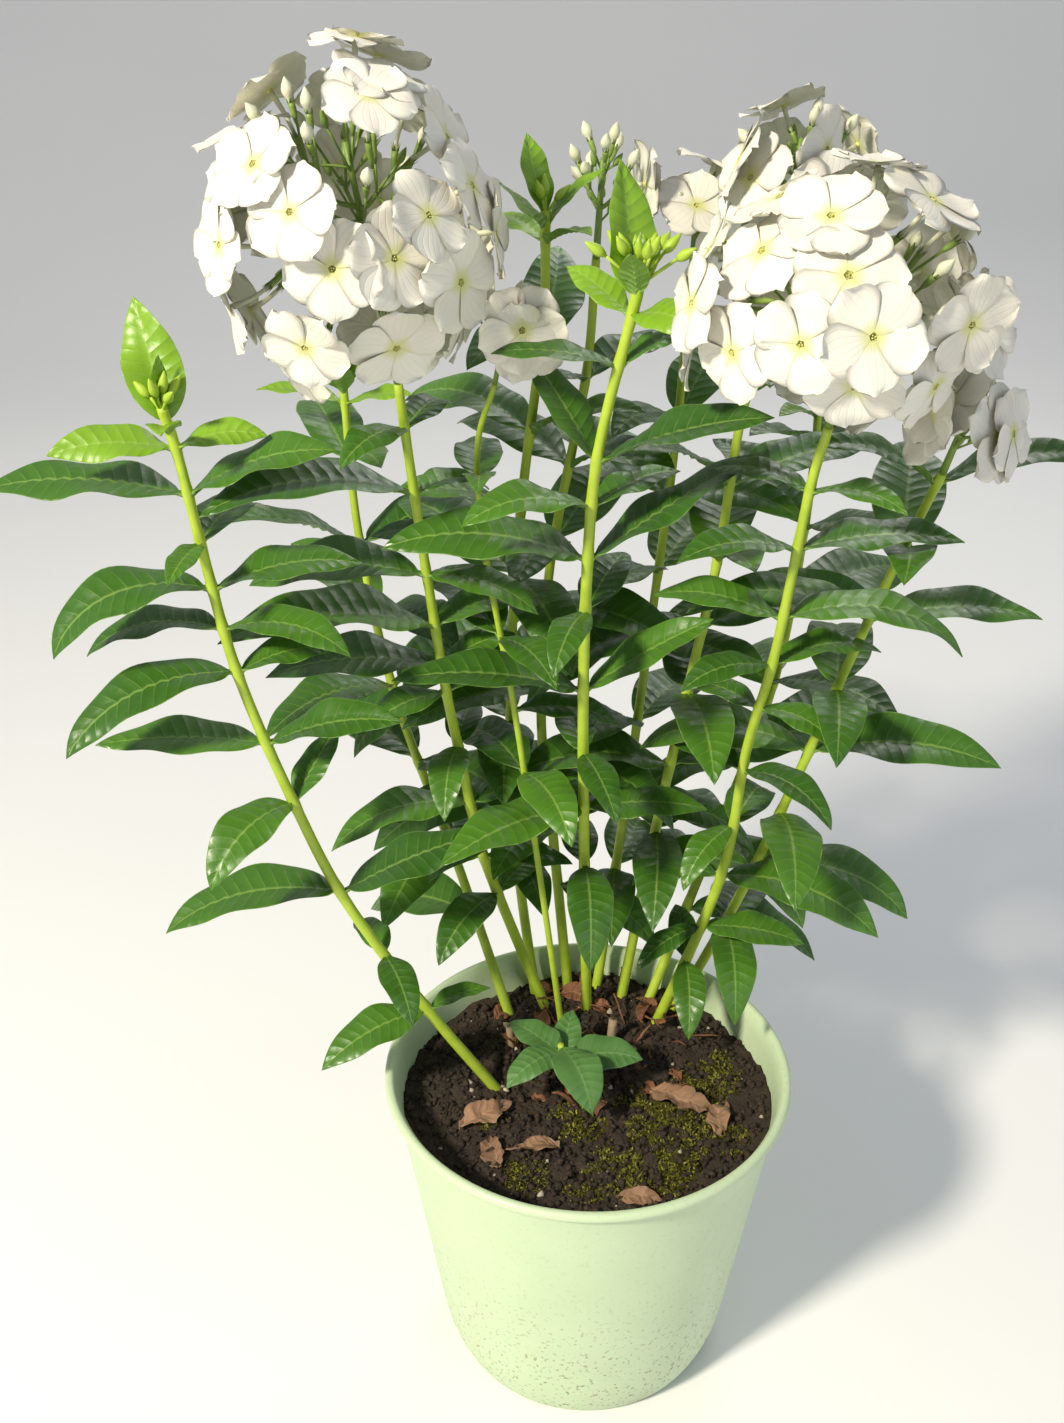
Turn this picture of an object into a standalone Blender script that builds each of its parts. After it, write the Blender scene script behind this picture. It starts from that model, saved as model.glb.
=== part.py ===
"""A border phlox with white flowers in a round nursery pot, modelled at rest.

Metres, +Z up. The origin is the centre of the pot's flat underside, and the plant's
fuller, sunlit side faces -Y. Every leafy stem is one solid with its leaves, every
flower head is one solid with its stalks, and the pot and the soil are one solid each.
"""

import math
import random
from dataclasses import dataclass, field

import bmesh
import bpy
from mathutils import Matrix, Vector
from mathutils.bvhtree import BVHTree

MM = 0.001

# Pot: outer sizes of a 21 cm nursery pot
POT_HEIGHT = 177 * MM
POT_RIM_RADIUS = 105 * MM
POT_WALL_RADII = (75.5 * MM, 100.3 * MM)
POT_WALL = 2.0 * MM
POT_FLOOR = 2.4 * MM
POT_LIP_HEIGHT = 5.5 * MM
POT_HEEL_HEIGHT = 26 * MM
POT_HEEL_INSET = 4.5 * MM
POT_SIDES = 32
DRAIN_SLOTS = 8
DRAIN_SLOT_SIZE = (15 * MM, 9 * MM, 5 * MM)

# Soil
GAP = 0.3 * MM
SOIL_TOP = 159 * MM
SOIL_RINGS = 2
CROWN = Vector((8 * MM, 58 * MM, SOIL_TOP))
CROWN_MOUND = 7 * MM
CROWN_SPREAD = 42 * MM

# Stems
STEM_FOOT_RADIUS = 3.3 * MM
STEM_TIP_RADIUS = 2.1 * MM
STEM_SIDES = 5
STEM_RINGS = 7
STEM_ROOT_DEPTH = 22 * MM
HOLE_CLEARANCE = 0.55 * MM

# Leaves
LEAF_WIDTH_RATIO = 0.40
LEAF_THICKNESS = 1.2 * MM
LEAF_STALK = 0.04
LEAF_BASE_CURVE, LEAF_TIP_CURVE = 0.62, 0.95
LEAF_OUTLINE_PEAK = 0.357
LEAF_LEAST_HALF_WIDTH = 1.5 * MM
LEAF_ARCH = 0.16
LEAF_WAVE = 0.07
LEAF_STATIONS = (0.2, 0.48, 0.76)
SMALL_LEAF_STATIONS = (0.28, 0.66)
SMALL_LEAF = 60 * MM
SPINE_STEPS = 24
CLEAR_LEAF_THICKNESS = 3.0 * MM
# Degrees by which a sideways leaf turns its upper face to the light in front
TURN_TO_LIGHT = 22

# Florets
FLORET_RADIUS = 19.5 * MM
CALYX_RADIUS = 1.5 * MM
PEDICEL_RADIUS = 0.8 * MM
PETALS = 5
PETAL_NOTCH = 0.62
PETAL_SPAN = (0.24, 0.76)
PETAL_RISE = 0.14
PETAL_TWIST = 0.05
BUD_LENGTH = 9 * MM
BUD_RADIUS = 2.4 * MM
GREEN_BUD_RADIUS = 1.6 * MM
GREEN_BUD_LENGTH = 7 * MM

# Heads
BRANCH_RADIUS = 1.1 * MM
ELBOW_SHARE = 0.42
ELBOW_DROP = 5 * MM
FORK_DROP = 7 * MM
SEAT_TRIES = 90
GOLDEN_TURN = math.radians(137.508)

# Share of triangles kept once a node is fused
SLIM_RATIO = 0.58

LEAF_GREEN = (0.055, 0.19, 0.03)
STEM_GREEN = (0.33, 0.46, 0.05)
PETAL_WHITE = (0.90, 0.88, 0.82)
POT_GREEN = (0.62, 0.72, 0.52)
SOIL_BROWN = (0.035, 0.025, 0.018)
DRY_BROWN = (0.36, 0.17, 0.08)


@dataclass
class Leaf:
    """One leaf. Angles are in degrees, and azimuth 0 is +X, 90 is +Y."""

    root: Vector
    azimuth: float
    length: float
    rise: float
    droop: float
    sweep: float = 0.0
    roll: float = 0.0
    fold: float = 16.0
    broad: float = 1.0
    phase: float = 0.0
    youth: float = 0.0


@dataclass
class Floret:
    """One open flower: its stalk starts at root, and its petals spread round mouth."""

    root: Vector
    mouth: Vector
    facing: Vector
    radius: float
    turn: float
    cup: float
    seed: int


@dataclass
class Bud:
    root: Vector
    neck: Vector
    tip: Vector
    radius: float
    green: bool


@dataclass
class Branch:
    start: Vector
    end: Vector
    radius: float


@dataclass
class Stem:
    name: str
    path: list
    foot_radius: float
    tip_radius: float
    leaves: list = field(default_factory=list)
    buds: list = field(default_factory=list)


@dataclass
class Head:
    name: str
    stem: str
    branches: list = field(default_factory=list)
    florets: list = field(default_factory=list)
    buds: list = field(default_factory=list)


# Each stem's route in millimetres: where it leaves the soil, then the way to its tip.
STEM_ROUTES = {
    "left": [(-51, 5, 159), (-80, 2, 206), (-118, -4, 278), (-140, -8, 340), (-158, -12, 405),
             (-166, -16, 460), (-171, -20, 505), (-175, -22, 527)],
    "centre": [(2, 62, 159), (-2, 42, 281), (-5, 15, 380), (-5, -7, 458), (-2, -20, 509),
               (9, -35, 567), (11, -38, 579)],
    "right": [(40, 52, 159), (61, 47, 228), (71, 36, 283), (74, 23, 348), (80, 3, 408),
              (84, -20, 490), (87, -32, 522)],
    "mid_left": [(-21, 66, 159), (-45, 62, 233), (-56, 53, 277), (-65, 44, 337), (-70, 34, 376),
                 (-75, 24, 427), (-79, 8, 480), (-83, -4, 532)],
    "back_centre": [(-8, 81, 159), (-18, 84, 270), (-24, 84, 336), (-20, 86, 417), (-4, 86, 510),
                    (0, 85, 566)],
    "back_right": [(22, 74, 159), (38, 80, 269), (50, 76, 350), (61, 70, 428), (66, 62, 495),
                   (76, 56, 560)],
    "far_right": [(52, 66, 159), (82, 58, 240), (106, 44, 328), (118, 34, 380), (133, 16, 447),
                  (141, -8, 496)],
    "back_left": [(-27, 80, 159), (-38, 98, 250), (-40, 100, 350), (-34, 84, 450), (-24, 66, 540),
                  (-23, 60, 590)],
    "rear": [(8, 82, 159), (22, 104, 260), (34, 118, 370), (42, 112, 470), (45, 104, 548)],
    "rear_left": [(-42, 62, 159), (-72, 98, 240), (-104, 122, 330), (-120, 132, 420),
                  (-124, 136, 500)],
    "rear_right": [(38, 74, 159), (70, 100, 240), (104, 130, 330), (116, 140, 420),
                   (118, 142, 492)],
    "slender": [(-12, 46, 159), (-24, 40, 260), (-38, 34, 370), (-50, 24, 450), (-52, 12, 500),
                (-44, 4, 530)],
}

# Leaf pairs of the stems that show in front: height in millimetres, the first leaf's
# azimuth, then length, rise and droop of the first leaf and of the one opposite.
LEAF_PAIRS = {
    "left": [
        (210, 205, (62, 2, 40), (34, 25, 40)),
        (246, 292, (45, 8, 72), (40, 20, 60)),
        (286, 187, (90, 14, 58), (78, 30, 30)),
        (338, 236, (62, 14, 84), (44, 46, 30)),
        (370, 181, (76, 8, 14), (64, 26, 34)),
        (407, 198, (86, 10, 68), (46, 24, 50)),
        (428, 172, (68, 12, 62), (62, 20, 60)),
        (447, 192, (80, 20, 92), (66, 24, 44)),
        (468, 262, (34, 6, 40), (66, 18, 56)),
        (490, 180, (84, 14, 28), (66, 34, 40)),
    ],
    "centre": [
        (270, 274, (64, 6, 92), (52, 20, 60)),
        (309, 184, (88, 18, 44), (62, 10, 24)),
        (346, 282, (48, 8, 66), (50, 22, 50)),
        (385, 182, (90, 22, 38), (68, 38, 16)),
        (430, 246, (46, 8, 62), (56, 26, 40)),
        (457, 184, (90, 24, 48), (86, 36, 12)),
        (483, 205, (60, 24, 58), (50, 24, 40)),
        (504, 170, (52, 56, 12), (74, 30, 26)),
        (545, 186, (50, 20, 34), (34, 36, 34)),
    ],
    "right": [
        (206, 272, (46, -8, 62), (42, 28, 40)),
        (230, 206, (44, 0, 54), (56, 10, 40)),
        (266, 342, (88, 12, 56), (46, 8, 44)),
        (300, 222, (46, 2, 70), (60, 20, 70)),
        (336, 312, (58, 22, 76), (50, 16, 40)),
        (376, 326, (46, 14, 64), (44, 20, 44)),
        (402, 20, (56, 24, 56), (48, 16, 50)),
        (428, 350, (86, 26, 82), (60, 24, 50)),
        (464, 12, (70, 18, 34), (56, 20, 46)),
        (492, 330, (44, 20, 50), (46, 24, 50)),
    ],
    "mid_left": [
        (242, 230, (56, 4, 52), (44, 20, 40)),
        (268, 176, (64, 2, 18), (48, 16, 50)),
        (304, 196, (78, 16, 62), (60, 24, 34)),
        (340, 262, (50, 8, 70), (48, 20, 50)),
        (374, 205, (58, 4, 78), (54, 30, 40)),
        (390, 186, (84, 14, 40), (40, 30, 40)),
        (412, 207, (102, 24, 50), (58, 20, 44)),
        (440, 184, (84, 14, 46), (56, 20, 60)),
        (482, 200, (94, 22, 52), (66, 22, 58)),
        (512, 244, (46, 18, 60), (44, 24, 56)),
    ],
}

# The other stems carry pairs by rule: lowest and highest pair, internode, first azimuth,
# longest leaf.
LEAF_RULES = {
    "back_centre": (232, 540, 41, 150, 88),
    "back_right": (226, 530, 41, 20, 88),
    "far_right": (222, 492, 38, 80, 90),
    "back_left": (240, 570, 41, 120, 86),
    "rear": (232, 524, 42, 60, 90),
    "rear_left": (210, 486, 40, 150, 94),
    "rear_right": (210, 478, 40, 30, 94),
    "slender": (292, 504, 40, 200, 70),
}

# Young leaves round the tip of a stem with no flowers: millimetres below the tip, azimuth,
# length, rise, droop, breadth and roll.
TUFT_ROWS = {
    "left": [(17, 186, 50, 14, 34, 1.15, -44), (17, 6, 38, 26, 50, 1.1, 36), (10, 276, 32, 30, 40, 1.1, 0),
             (8, 130, 52, 72, 14, 1.2, -20), (5, 24, 40, 54, 24, 1.1, 30), (2, 196, 32, 68, -16, 1.1, -20),
             (2, 330, 28, 66, -24, 1.1, 0)],
    "centre": [(14, 336, 52, 12, 58, 1.2, 34), (14, 156, 36, 36, 30, 1.1, -24), (8, 112, 50, 78, 8, 1.2, 0),
               (6, 252, 26, 52, 20, 1.1, 0), (3, 34, 34, 60, -6, 1.1, 20), (2, 206, 26, 68, -16, 1.1, 0)],
}
PLAIN_TUFT = [(13, 0, 46, 20, 30, 1.0, 0), (13, 180, 38, 26, 34, 1.0, 0), (7, 96, 38, 46, 24, 1.1, 0),
              (6, 276, 34, 50, 20, 1.1, 0), (2, 20, 34, 72, 0, 1.15, 0)]

# How far the plain tuft is turned, and how many green buds each tuft holds
TUFTS = {
    "left": (0, 6), "centre": (0, 14), "back_left": (120, 3), "rear_left": (170, 3), "rear_right": (40, 3),
}

# Flower heads: the stem that carries it, centre of the dome, half width and half height
# in millimetres, how far it comes down, open florets, long white buds and small green buds.
HEAD_FORMS = {
    "left_head": ("mid_left", (-98, -12, 595), 52, 64, 1.60, 40, 12, 8),
    "right_head": ("right", (83, -52, 575), 56, 43, 1.52, 32, 8, 4),
    "back_head": ("back_right", (82, 50, 608), 30, 26, 1.4, 9, 9, 8),
    "bud_head": ("back_centre", (2, 82, 600), 20, 20, 1.4, 1, 10, 6),
    "rear_head": ("rear", (46, 100, 586), 26, 20, 1.4, 6, 5, 4),
    "far_right_head": ("far_right", (141, -34, 524), 17, 15, 1.4, 4, 3, 3),
    "slender_head": ("slender", (-38, -4, 556), 15, 12, 1.4, 3, 4, 3),
}
FACES_FRONT = ("far_right_head", "slender_head")

# Fallen leaves in millimetres and degrees: place, azimuth, length, curl
DRY_LEAVES = [
    (-66, -28, 24, 34, 1.0), (-14, -40, 205, 30, 0.8), (34, -2, 322, 36, 1.2), (64, -34, 80, 28, 0.9),
    (-44, -58, 118, 26, 0.7), (12, -76, 8, 22, 0.8),
]

# Stubs of last year's stems: foot, lean azimuth, height above the soil, radius
STUBS = [(14, 34, 60, 15, 2.4), (-22, 28, 200, 11, 2.1), (24, 22, 330, 9, 2.0), (-40, 34, 120, 13, 2.0)]

# Low shoot of broad young leaves in front of the clump
LOW_SHOOT_FOOT = (-10, 8, 159)
LOW_SHOOT_TOP = (-14, 0, 188)


def mm(point):
    return Vector(point) * MM


def heading(azimuth, rise):
    a, e = math.radians(azimuth), math.radians(rise)
    return Vector((math.cos(a) * math.cos(e), math.sin(a) * math.cos(e), math.sin(e)))


def smooth_route(points, count):
    """count points, evenly spaced in the parameter, on a Catmull-Rom curve through points."""
    padded = [points[0] * 2 - points[1], *points, points[-1] * 2 - points[-2]]
    spans = len(points) - 1
    route = []
    for i in range(count):
        x = i / (count - 1) * spans
        k = min(int(x), spans - 1)
        t = x - k
        a, b, c, d = padded[k:k + 4]
        route.append(0.5 * (
            2 * b + (c - a) * t + (2 * a - 5 * b + 4 * c - d) * t * t
            + (3 * b - a - 3 * c + d) * t ** 3
        ))
    return route


def point_at_height(route, height):
    """Where a rising route passes this height."""
    for low, high in zip(route, route[1:]):
        if low.z <= height <= high.z:
            return low.lerp(high, (height - low.z) / (high.z - low.z))
    return route[-1].copy() if height > route[-1].z else route[0].copy()


def across(direction):
    """Two unit vectors square to a direction."""
    side = direction.cross(Vector((0, 0, 1)))
    if side.length < 0.1:
        side = direction.cross(Vector((0, 1, 0)))
    side.normalize()
    return side, direction.cross(side).normalized()


def leaf_half_width(leaf, s):
    """Half the width at share s of the length: a short stalk, widest at two fifths, a long point."""
    u = max(0.0, (s - LEAF_STALK) / (1 - LEAF_STALK))
    outline = u ** LEAF_BASE_CURVE * (1 - u) ** LEAF_TIP_CURVE / LEAF_OUTLINE_PEAK
    half = leaf.length * LEAF_WIDTH_RATIO * leaf.broad / 2
    return max(LEAF_LEAST_HALF_WIDTH * (1 - s) ** 0.5, half * outline)


def leaf_spine(leaf):
    """Points and frames along the midrib: (point, direction, side, up) at each step."""
    point = leaf.root.copy()
    frames = []
    for i in range(SPINE_STEPS + 1):
        s = i / SPINE_STEPS
        direction = heading(leaf.azimuth + leaf.sweep * s, leaf.rise - leaf.droop * s ** 1.25)
        level = heading(leaf.azimuth + leaf.sweep * s - 90, 0)
        turn = Matrix.Rotation(math.radians(leaf.roll * s), 3, direction)
        side = turn @ level
        up = side.cross(direction).normalized()
        frames.append((point.copy(), direction, side, up))
        point += direction * leaf.length / SPINE_STEPS
    return frames


def leaf_point(leaf, spine, s, t):
    """A point of the blade's middle sheet: s along it, t across it from -1 to 1."""
    x = s * SPINE_STEPS
    k = min(int(x), SPINE_STEPS - 1)
    low, high = spine[k], spine[k + 1]
    f = x - k
    centre = low[0].lerp(high[0], f)
    side = low[2].lerp(high[2], f).normalized()
    up = low[3].lerp(high[3], f).normalized()
    half = leaf_half_width(leaf, s)
    lift = math.sin(math.radians(leaf.fold)) * abs(t) - LEAF_ARCH * t * t
    wave = LEAF_WAVE * math.sin(2.6 * math.pi * s + leaf.phase + (1.3 if t > 0 else 0)) * t * t
    return centre + side * (half * t * 0.96) + up * (half * (lift + wave))


def blade_mesh(leaf, thickness=LEAF_THICKNESS):
    """The leaf as a closed solid: thick along the rib and thin at its two margins."""
    spine = leaf_spine(leaf)
    foot, _, side, up = spine[0]
    verts = [foot - side * 1.3 * MM + up * 0.7 * MM, foot + side * 1.3 * MM + up * 0.7 * MM,
             foot - up * 1.1 * MM]
    faces = [(0, 2, 1), (0, 1, 4), (0, 4, 3), (1, 5, 4), (1, 2, 5), (2, 6, 5), (2, 3, 6), (2, 0, 3)]
    stations = LEAF_STATIONS if leaf.length > SMALL_LEAF else SMALL_LEAF_STATIONS
    for s in stations:
        lift = spine[round(s * SPINE_STEPS)][3] * thickness / 2
        middle = leaf_point(leaf, spine, s, 0)
        verts += [leaf_point(leaf, spine, s, -1), middle + lift,
                  leaf_point(leaf, spine, s, 1), middle - lift]
    verts.append(leaf_point(leaf, spine, 1.0, 0))
    for ring in range(len(stations) - 1):
        a, b = 3 + 4 * ring, 7 + 4 * ring
        faces += [(a, a + 1, b + 1), (a, b + 1, b), (a + 1, a + 2, b + 1), (a + 2, b + 2, b + 1)]
        faces += [(a, b + 3, a + 3), (a, b, b + 3), (a + 3, b + 3, a + 2), (a + 2, b + 3, b + 2)]
    last, tip = len(verts) - 5, len(verts) - 1
    faces += [(last, last + 1, tip), (last + 1, last + 2, tip)]
    faces += [(last + 3, last, tip), (last + 2, last + 3, tip)]
    return verts, faces


def rings_mesh(centres, radii, sides, pointed=False, turn=0.0):
    """A closed tube through rings of vertices. With pointed, it ends in one vertex."""
    verts, faces = [], []
    count = len(centres) - (1 if pointed else 0)
    reference = across((centres[-1] - centres[0]).normalized())[0]
    for i in range(count):
        ahead = (centres[min(i + 1, len(centres) - 1)] - centres[max(i - 1, 0)]).normalized()
        side = (reference - ahead * reference.dot(ahead)).normalized()
        up = ahead.cross(side)
        for k in range(sides):
            a = turn + 2 * math.pi * k / sides
            verts.append(centres[i] + (side * math.cos(a) + up * math.sin(a)) * radii[i])
    for i in range(count - 1):
        for k in range(sides):
            a, b = i * sides + k, i * sides + (k + 1) % sides
            faces += [(a, b, b + sides), (a, b + sides, a + sides)]
    faces += [(0, k + 1, k) for k in range(1, sides - 1)]
    end = (count - 1) * sides
    if pointed:
        verts.append(centres[-1].copy())
        faces += [(end + k, end + (k + 1) % sides, len(verts) - 1) for k in range(sides)]
    else:
        faces += [(end, end + k, end + k + 1) for k in range(1, sides - 1)]
    return verts, faces


def stem_mesh(stem, extra=0.0, rings=STEM_RINGS):
    route = smooth_route(stem.path, rings)
    radii = [
        stem.foot_radius + (stem.tip_radius - stem.foot_radius) * i / (rings - 1) + extra
        for i in range(rings)
    ]
    return rings_mesh(route, radii, STEM_SIDES)


def floret_mesh(floret):
    """Stalk, tube and five spread petals as one closed solid."""
    facing = floret.facing
    side, up = across(facing)
    throat = floret.mouth - facing * 1.8 * MM

    def around(centre, angle, radius):
        a = floret.turn + angle
        return centre + (side * math.cos(a) + up * math.sin(a)) * radius

    step = 2 * math.pi / PETALS
    third = 2 * math.pi / 3
    verts = [around(floret.root, k * third, PEDICEL_RADIUS) for k in range(3)]
    verts += [around(throat, k * third, CALYX_RADIUS) for k in range(3)]
    verts.append(floret.mouth - facing * 0.3 * MM)
    lift = facing * floret.radius
    rise = floret.cup * PETAL_RISE
    first, second = PETAL_SPAN
    for k in range(PETALS):
        verts += [
            around(floret.mouth, k * step, floret.radius * PETAL_NOTCH) + lift * 0.5 * rise,
            around(floret.mouth, (k + first) * step, floret.radius) + lift * (rise + PETAL_TWIST),
            around(floret.mouth, (k + second) * step, floret.radius) + lift * (rise - PETAL_TWIST),
        ]
    faces = [(0, 2, 1)]
    for k in range(3):
        n = (k + 1) % 3
        faces += [(k, n, n + 3), (k, n + 3, k + 3)]
        rim = [7 + (5 * k + j) % 15 for j in range(6)]
        faces += [(k + 3, rim[j + 1], rim[j]) for j in range(3)]
        faces += [(k + 3, n + 3, rim[3]), (n + 3, rim[4], rim[3]), (n + 3, rim[5], rim[4])]
    faces += [(6, 7 + j, 7 + (j + 1) % 15) for j in range(15)]
    return verts, faces


def bud_mesh(bud):
    if bud.green:
        centres = [bud.root, bud.neck.lerp(bud.tip, 0.35), bud.tip]
        return rings_mesh(centres, (PEDICEL_RADIUS, bud.radius, 0), 3, pointed=True)
    centres = [bud.root, bud.neck.lerp(bud.tip, 0.6), bud.tip]
    return rings_mesh(centres, (PEDICEL_RADIUS, bud.radius, 0), 4, pointed=True)


def branch_mesh(branch):
    reach = (branch.end - branch.start).normalized() * 0.6 * MM
    centres = [branch.start, branch.end + reach]
    return rings_mesh(centres, (branch.radius, branch.radius * 0.85), 3)


class Crowd:
    """Shapes already placed, to keep what is placed next clear of them."""

    def __init__(self):
        self.items = []

    def add(self, owner, verts, faces):
        low = Vector(min(v[i] for v in verts) for i in range(3))
        high = Vector(max(v[i] for v in verts) for i in range(3))
        self.items.append((owner, low, high, BVHTree.FromPolygons(verts, faces)))

    def hits(self, verts, faces, skip=(), own=None):
        """How many placed shapes this one would cross. One that isn't its own counts as 100."""
        low = Vector(min(v[i] for v in verts) for i in range(3))
        high = Vector(max(v[i] for v in verts) for i in range(3))
        tree = BVHTree.FromPolygons(verts, faces)
        found = 0
        for owner, other_low, other_high, other in self.items:
            if owner in skip or any(low[i] > other_high[i] or high[i] < other_low[i] for i in range(3)):
                continue
            if tree.overlap(other):
                found += 1 if own and owner == own else 100
        return found


def plan_stems():
    stems = {}
    for name, route in STEM_ROUTES.items():
        points = [mm(p) for p in route]
        start = points[0] - (points[1] - points[0]).normalized() * STEM_ROOT_DEPTH
        thin = 0.62 if name == "slender" else 1.0
        stems[name] = Stem(name, [start, *points], STEM_FOOT_RADIUS * thin, STEM_TIP_RADIUS * thin)
    low = [mm(LOW_SHOOT_FOOT), mm(LOW_SHOOT_TOP)]
    start = low[0] - (low[1] - low[0]).normalized() * STEM_ROOT_DEPTH * 0.6
    stems["low_shoot"] = Stem("low_shoot", [start, *low], 2.0 * MM, 1.6 * MM)
    return stems


def head_axis(stem, centre, half_height):
    """Start and end of a head's own stalk, which goes on where its stem ends."""
    start = stem.path[-1]
    end = centre + Vector((0, 0, half_height * 0.45))
    lead = (end - start).normalized()
    return start + lead * GAP, end


def dome_seats(count, reach_down, draw):
    """Outward directions spread over a dome, in bunches that share one fork each."""
    seats = []
    for i in range(count):
        upright = 1 - reach_down * (i + 0.5) / count
        around = i * GOLDEN_TURN + draw.uniform(-0.12, 0.12)
        level = math.sqrt(max(0.0, 1 - upright * upright))
        seats.append(Vector((level * math.cos(around), level * math.sin(around), upright)))
    bunches = []
    while seats:
        first = seats.pop(0)
        near = sorted(seats, key=lambda seat: -seat.dot(first))[:3]
        seats = [seat for seat in seats if not any(seat is other for other in near)]
        bunches.append([first, *near])
    return bunches


def plan_head(name, stem, crowd):
    """Florets over a dome, turned outwards, in bunches on forks of one central stalk."""
    _, centre, half_width, half_height, reach_down, open_count, white_count, green_count = HEAD_FORMS[name]
    draw = random.Random(name)
    centre = mm(centre)
    spread = Vector((half_width, half_width, half_height)) * MM
    start, end = head_axis(stem, centre, spread.z)
    head = Head(name, stem.name, [Branch(start, end, stem.tip_radius * 0.8)])
    total = open_count + white_count
    closed = set(draw.sample(range(total), white_count))
    done = 0
    for bunch in dome_seats(total, reach_down, draw):
        lead = sum(bunch, Vector()) / len(bunch)
        elbow = centre + Vector(lead[i] * spread[i] for i in range(3)) * ELBOW_SHARE
        elbow.z = max(elbow.z - ELBOW_DROP, start.z + ELBOW_DROP)
        share = (elbow.z - FORK_DROP - start.z) / (end.z - start.z)
        fork = start.lerp(end, min(0.95, max(0.06, share)))
        head.branches.append(Branch(fork, elbow, BRANCH_RADIUS))
        for normal in bunch:
            if name in FACES_FRONT and normal.y > 0.2:
                normal = Vector((normal.x, -normal.y, normal.z))
            root = fork.lerp(elbow, draw.uniform(0.8, 1.0))
            place = place_bud if done in closed else place_floret
            place(head, root, centre, normal, spread, draw, crowd)
            done += 1
    for i in range(green_count):
        normal = heading(i * 137.5, draw.uniform(5, 80))
        fork = start.lerp(end, 0.35 + 0.6 * i / green_count)
        neck = fork + Vector(normal[i] * spread[i] for i in range(3)) * draw.uniform(0.3, 0.5)
        tip = neck + (normal + Vector((0, 0, 0.6))).normalized() * GREEN_BUD_LENGTH
        head.buds.append(Bud(fork, neck, tip, GREEN_BUD_RADIUS, True))
        add_if_clear(head, head.buds, bud_mesh, crowd)
    for branch in head.branches:
        crowd.add(head.name, *branch_mesh(branch))
    return head


def add_if_clear(head, items, mesh_of, crowd):
    """Keeps the last item of a list only if it crosses nothing outside its own head."""
    shape = mesh_of(items[-1])
    if crowd.hits(*shape, own=head.name) >= 100:
        items.pop()
    else:
        crowd.add(head.name, *shape)


def place_bud(head, root, centre, normal, spread, draw, crowd):
    out = Vector(normal[i] * spread[i] for i in range(3))
    tip = centre + out * draw.uniform(0.72, 0.95) + Vector((0, 0, 8 * MM))
    lean = (tip - root).normalized()
    bud = Bud(root, tip - lean * (BUD_LENGTH + 6 * MM), tip, BUD_RADIUS, False)
    head.buds.append(bud)
    add_if_clear(head, head.buds, bud_mesh, crowd)


def place_floret(head, root, centre, normal, spread, draw, crowd):
    """Tries seats, depths and tilts, and keeps the one that crosses the fewest neighbours."""
    best = None
    for attempt in range(SEAT_TRIES):
        loose = 0.04 + 0.5 * attempt / SEAT_TRIES
        jitter = Vector((draw.gauss(0, loose), draw.gauss(0, loose), draw.gauss(0, loose)))
        spot = (normal + jitter * 0.7).normalized()
        tilt = Vector((draw.gauss(0, loose), draw.gauss(0, loose), draw.gauss(0, loose)))
        facing = (spot + tilt * 0.8 + Vector((0, 0, 0.2))).normalized()
        narrow = 1 - 0.26 * max(0.0, spot.z)
        out = Vector((spot.x * spread.x * narrow, spot.y * spread.y * narrow, spot.z * spread.z))
        mouth = centre + out * draw.uniform(0.98 - 0.22 * attempt / SEAT_TRIES, 1.08)
        floret = Floret(root, mouth, facing, FLORET_RADIUS * draw.uniform(0.90, 1.05),
                        draw.uniform(0, 6.28), draw.uniform(-0.6, 1.0), draw.randrange(10 ** 6))
        if (mouth - root).dot(facing) < 0.6 * (mouth - root).length:
            continue
        crossed = crowd.hits(*floret_mesh(floret), own=head.name)
        if best is None or crossed < best[0]:
            best = (crossed, floret)
        if not crossed:
            break
    if best and best[0] < 100:
        head.florets.append(best[1])
        crowd.add(head.name, *floret_mesh(best[1]))


def place_leaf(stem, leaf, crowd):
    """Turns, lifts or shortens a leaf until it is clear of everything placed before it."""
    for length in (1.0, 0.86, 0.72):
        for rise in (0, 9, -9, 18, -18):
            for turn in (0, 8, -8, 16, -16, 25, -25, 36, -36):
                tried = Leaf(**{**leaf.__dict__, "azimuth": leaf.azimuth + turn,
                                "rise": leaf.rise + rise, "length": leaf.length * length})
                guard = Leaf(**{**tried.__dict__, "length": tried.length * 1.04, "broad": tried.broad * 1.14})
                verts, faces = blade_mesh(guard, CLEAR_LEAF_THICKNESS)
                if not crowd.hits(verts, faces, skip=(stem.name + "_shaft",)):
                    crowd.add(stem.name, verts, faces)
                    stem.leaves.append(tried)
                    return True
    return False


def new_leaf(stem, route, height, azimuth, size, draw, youth=0.0, broad=1.0):
    length, rise, droop = size
    # Halfway between the smooth curve and the faceted stem, so that the leaf joins either
    faceted = smooth_route(stem.path, STEM_RINGS)
    node = point_at_height(route, height * MM).lerp(point_at_height(faceted, height * MM), 0.5)
    root = node + heading(azimuth, 0) * stem.tip_radius * 0.25
    return Leaf(root, azimuth + draw.uniform(-4, 4), length * MM, rise, droop,
                sweep=draw.uniform(-16, 16),
                roll=draw.uniform(-16, 16) + TURN_TO_LIGHT * math.cos(math.radians(azimuth)),
                fold=draw.uniform(11, 22), broad=broad * draw.uniform(0.92, 1.08),
                phase=draw.uniform(0, 6.28), youth=youth)


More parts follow.
